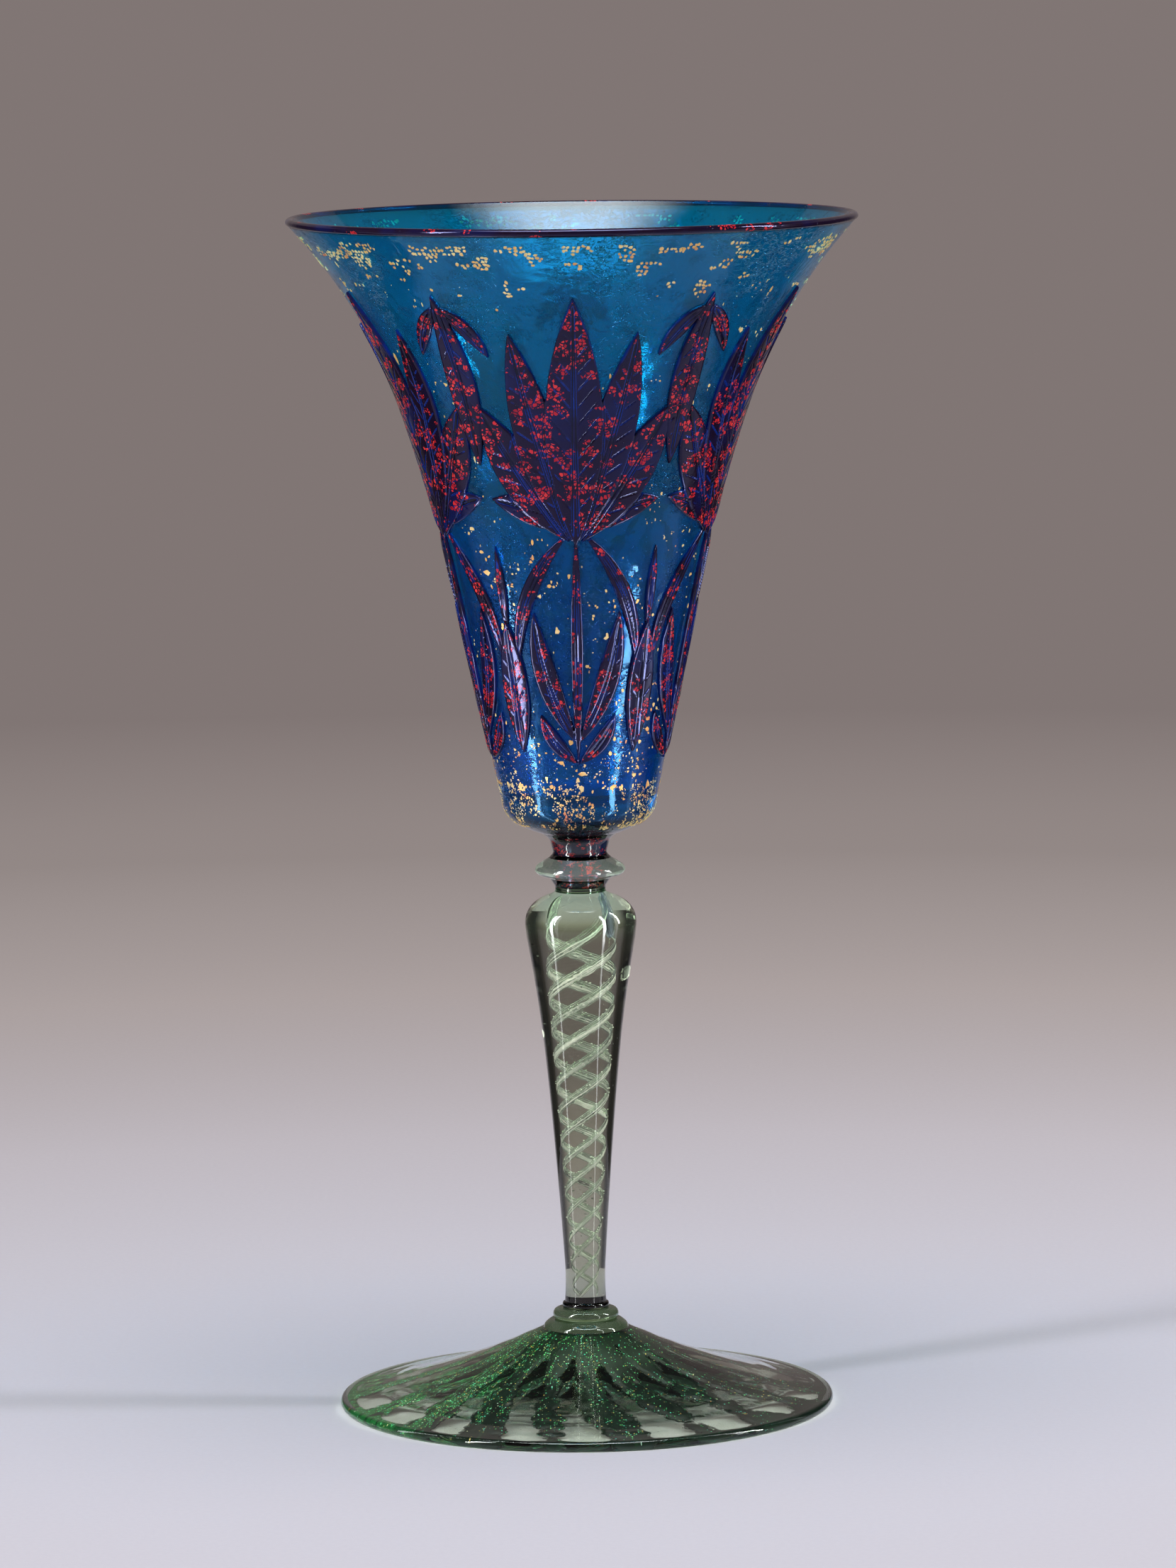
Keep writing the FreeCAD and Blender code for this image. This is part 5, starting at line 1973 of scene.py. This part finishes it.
@dataclass(frozen=True)
class Lamp:
    """A soft box, by the way it lies from the glass."""

    name: str
    bearing: float
    rise: float
    distance: float
    width: float
    height: float
    power: float
    hidden: bool = False
    aim: float = 0.13

    def build(self) -> None:
        """Makes the lamp, which points at the middle of the glass and isn't seen by the camera itself."""
        data = bpy.data.lights.new(self.name, "AREA")
        data.shape = "RECTANGLE"
        data.size = self.width
        data.size_y = self.height
        data.energy = self.power
        lamp = bpy.data.objects.new(self.name, data)
        bpy.context.scene.collection.objects.link(lamp)
        turn, lift = math.radians(self.bearing), math.radians(self.rise)
        way = Vector((math.sin(turn) * math.cos(lift), -math.cos(turn) * math.cos(lift), math.sin(lift)))
        lamp.location = Vector((0, 0, self.aim)) + way * self.distance
        lamp.rotation_euler = way.to_track_quat("Z", "Y").to_euler()
        lamp.visible_camera = False
        lamp.visible_glossy = not self.hidden
        lamp.visible_transmission = not self.hidden


@dataclass
class Studio:
    """The round sweep that the glass stands on, the lamps and the camera. Its sizes are in metres."""

    camera_back: float = 1.5164
    camera_side: float = 0.0018
    camera_height: float = 0.31685
    camera_pitch: float = 82.823
    camera_roll: float = -0.74
    lens: float = 175.19
    sensor: float = 36.0
    far_clip: float = 30.0
    wall_radius: float = 4.0
    wall_height: float = 2.6
    wall_bend: float = 0.6
    floor_rings: tuple = (0.0, 0.2, 0.6, 1.2)
    glow_span: tuple = (0.3, 0.95)
    paper_tone_with_painted_falloff: tuple = ((0.0, (0.50, 0.49, 0.55)), (0.13, (0.52, 0.51, 0.575)), (0.32, (0.53, 0.495, 0.535)),
                         (0.55, (0.475, 0.415, 0.41)), (0.83, (0.30, 0.256, 0.247)),
                         (1.21, (0.217, 0.181, 0.175)))
    grain_scale: float = 900.0
    grain_share: float = 0.03
    grain_tone: Colour = (0.9, 0.9, 0.92)
    lamps: tuple = (
        Lamp("right strip", 86.0, 22.0, 1.2, 0.08, 0.95, 11.0),
        Lamp("left strip", -56.0, 24.0, 1.25, 0.08, 0.95, 11.0),
        Lamp("top box", 0.0, 83.0, 1.05, 0.8, 0.5, 8.0, True),
    )
    cloth_rows: tuple = ((0.2, 0.0), (0.7, 0.42))
    cloth_open: tuple = (20.0, 46.0)
    cloth_close: tuple = (74.0, 88.0)
    cloth_tones: tuple = ((0.012, 0.012, 0.014), (0.03, 0.03, 0.034))
    cloth_weave: float = 400.0
    bright_strips: tuple = (-58.0, 46.0)
    soft_strips: tuple = (-47.0, 73.0)
    stem_glow: float = 7.0
    bright_glow: float = 24.0
    soft_glow: float = 2.5
    strip_rise: tuple = (0.066, 0.085)
    strip_tone: Colour = (0.9, 0.95, 1.0)
    strip_waver: float = 30.0
    strip_radius: float = 0.06
    strip_shape: tuple = ((0.003, 0.004), (0.066, 0.004), (0.09, 0.007), (0.15, 0.007))
    card_box: tuple = (-0.55, 0.55, -0.40, 0.14)
    card_height: float = 1.17
    card_fade: tuple = (0.10, 0.48)
    card_glow: float = 11.0
    card_tone: Colour = (0.93, 0.96, 1.0)
    card_waver: float = 6.0
    air_tone: float = 0.06
    bounces: int = 24

    @staticmethod
    def hide_but_for_gloss(thing: Thing) -> None:
        """Keeps a piece of the studio from the camera and the paper, so that only gloss and glass show it."""
        thing.visible_camera = False
        thing.visible_diffuse = False
        thing.visible_shadow = False

    @staticmethod
    def light(name: str, tone: Colour, waver: float, axis: int, *strength: float) -> Material:
        """Makes a light whose strength goes by the distance along one axis.

        Args:
            name: the material's name.
            tone: its coolest colour. Its warmest is white.
            waver: how fine its colour varies.
            axis: the axis's number.
            strength: the two distances between which the strength changes, and the strength at each.

        Returns:
            The material.
        """
        made, tree, spot = new_material(name)
        made.cycles.emission_sampling = "NONE"
        colour = tree.blend(tree.noise(spot, waver), tone, (1.0, 1.0, 1.0))
        away = tree.math("ABSOLUTE", tree.parts(spot)[axis])
        tree.show(tree.node("Emission", {"Color": colour, "Strength": tree.step(away, *strength)}))
        return made

    def build_sweep(self) -> None:
        """Makes the sweep: a flat disc that turns up into a round wall.

        Near the glass it is plain matt paper that takes its shadow. Further out it glows, in a tone that
        darkens with its distance from the glass: a painted falloff of the studio's light.
        """
        turn = np.linspace(0, math.pi / 2, 13)[1:]
        start = self.wall_radius - self.wall_bend
        flat = [(radius, 0.0) for radius in (*self.floor_rings, start)]
        curve = np.stack([start + self.wall_bend * np.sin(turn), self.wall_bend * (1 - np.cos(turn))], 1)
        line = np.vstack([flat, curve, [(self.wall_radius, self.wall_height)]]) / MM
        sweep = lathe("sweep", line[::-1], steps=128, crease=80.0)
        made, tree, spot = new_material("studio paper")
        made.cycles.emission_sampling = "NONE"
        away = tree.vector("LENGTH", tree.vector("MULTIPLY", spot, (1.0, 1.0, 0.0)))
        # The tone darkens with distance from the glass: a painted falloff of the studio's light.
        scale = self.paper_tone_with_painted_falloff[-1][0]
        tone = tree.colours(tree.math("DIVIDE", away, scale),
                            [(place / scale, colour) for place, colour in self.paper_tone_with_painted_falloff])
        grain = tree.step(tree.noise(spot, self.grain_scale), *TONE_SPAN, 0.0, self.grain_share)
        matt = tree.node("BsdfDiffuse", {"Color": tree.blend(grain, tone, self.grain_tone)})
        glow = tree.node("Emission", {"Color": tone, "Strength": 1.0})
        share = tree.step(away, *self.glow_span)
        tree.show(tree.node("MixShader", {0: share, 1: matt.outputs[0], 2: glow.outputs[0]}))
        sweep.data.materials.append(made)

    def build_cloth(self) -> None:
        """Makes dark cloth that curves round behind the glass and is open at the middle.

        It gives the glass its dark edges. The camera, the lamps' light and the paper don't see it.
        """
        turn = np.linspace(-math.pi / 2, math.pi / 2, 49)
        rows = [np.stack([radius * np.sin(turn), radius * np.cos(turn), np.full(len(turn), height)], 1)
                for radius, height in self.cloth_rows]
        number = np.arange(len(turn) - 1)
        faces = np.stack([number, number + 1, number + 1 + len(turn), number + len(turn)], 1)
        cloth = put_mesh("cloth", np.vstack(rows) / MM, [(faces, 0)])
        made, tree, spot = new_material("black cloth")
        across, along, _ = tree.parts(spot)
        bearing = tree.math("ABSOLUTE", tree.math("ARCTAN2", across, along))
        opening = tree.step(bearing, *np.radians(self.cloth_open).tolist())
        closing = tree.step(bearing, *np.radians(self.cloth_close).tolist(), 1.0, 0.0)
        dark = tree.blend(tree.noise(spot, self.cloth_weave), *self.cloth_tones)
        gap, matt = tree.node("BsdfTransparent"), tree.node("BsdfDiffuse", {"Color": dark})
        tree.show(tree.node("MixShader", {
            0: tree.math("MULTIPLY", opening, closing), 1: gap.outputs[0], 2: matt.outputs[0]}))
        cloth.data.materials.append(made)
        self.hide_but_for_gloss(cloth)

    def build_card(self) -> None:
        """Makes the bright card over the glass, with ends that fade, which only gloss and glass show."""
        left, right, front, back = self.card_box
        corners = ((left, front), (left, back), (right, back), (right, front))
        points = np.array([(across, along, self.card_height) for across, along in corners])
        card = put_mesh("card", points / MM, [(np.array([(0, 1, 2, 3)]), 0)])
        card.data.materials.append(self.light(
            "bright card", self.card_tone, self.card_waver, 0, *self.card_fade, self.card_glow, 0.0))
        self.hide_but_for_gloss(card)

    def build_strips(self) -> None:
        """Makes narrow strips of light beside the glass, weaker by the stem, that only gloss shows."""
        points = []
        bearings = self.bright_strips + self.soft_strips
        for bearing in bearings:
            turn = math.radians(bearing)
            middle = np.array([math.sin(turn), -math.cos(turn)]) * self.strip_radius
            side = np.array([math.cos(turn), math.sin(turn)]) / 2
            for height, width in self.strip_shape:
                points += [(*(middle - side * width), height), (*(middle + side * width), height)]
        row = np.array([(0, 1, 3, 2)]) + 2 * np.arange(len(self.strip_shape) - 1)[:, None]
        faces = [(row + 2 * len(self.strip_shape) * number, number // len(self.bright_strips))
                 for number in range(len(bearings))]
        strips = put_mesh("light_strips", np.array(points) / MM, faces)
        for name, glow in (("bright strip", self.bright_glow), ("soft strip", self.soft_glow)):
            low = self.stem_glow * glow / self.bright_glow
            strips.data.materials.append(self.light(
                name, self.strip_tone, self.strip_waver, 2, *self.strip_rise, low, glow))
        self.hide_but_for_gloss(strips)

    def build_camera(self) -> None:
        """Makes the camera at the photograph's viewing angle."""
        data = bpy.data.cameras.new("camera")
        data.lens = self.lens
        data.sensor_width = self.sensor
        data.clip_end = self.far_clip
        camera = bpy.data.objects.new("camera", data)
        bpy.context.scene.collection.objects.link(camera)
        tilt = Matrix.Rotation(math.radians(self.camera_pitch), 4, "X")
        roll = Matrix.Rotation(math.radians(self.camera_roll), 4, "Z")
        place = Matrix.Translation((self.camera_side, -self.camera_back, self.camera_height))
        camera.matrix_world = place @ tilt @ roll
        bpy.context.scene.camera = camera

    def build(self) -> None:
        """Makes the sweep, the lamps, the world and the camera."""
        self.build_sweep()
        self.build_cloth()
        self.build_strips()
        self.build_card()
        for lamp in self.lamps:
            lamp.build()
        world = bpy.data.worlds.new("studio air")
        bpy.context.scene.world = world
        world.use_nodes = True
        world.node_tree.nodes["Background"].inputs[0].default_value = (
            self.air_tone, self.air_tone, self.air_tone, 1.0)
        self.build_camera()
        scene = bpy.context.scene
        scene.view_settings.view_transform = "Standard"
        scene.cycles.max_bounces = self.bounces
        scene.cycles.transmission_bounces = self.bounces
        scene.cycles.transparent_max_bounces = self.bounces


def main() -> None:
    """Builds every sub-assembly in order and notes each mesh's face count."""
    logging.basicConfig(level=logging.INFO, format="%(message)s")
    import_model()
    patterns = Patterns()
    pale, spread, dark, drawn = (
        each.build(patterns) for each in (PALE_GLASS, FOOT_GLASS, DARK_GLASS, STEM_GLASS))
    joint = FusedJoint().build(patterns)
    wall = BowlWall()
    frieze = Frieze(wall)
    frieze.build(patterns)
    cup = Cup(wall, frieze)
    cup.build_cup(patterns)
    cup.build_bead(patterns)
    cup.build_leaf(patterns)
    Neck().build(patterns, pale, spread, joint)
    Stem().build(patterns, drawn, joint)
    foot = Foot()
    foot.build_gather(spread, joint)
    foot.build_bands(patterns)
    foot.build_bits(dark, spread, joint)
    Studio().build()
    for thing in bpy.context.scene.objects:
        if thing.type == "MESH":
            LOG.info("%s: %d faces", thing.name, len(thing.data.polygons))


if __name__ == "__main__":
    main()
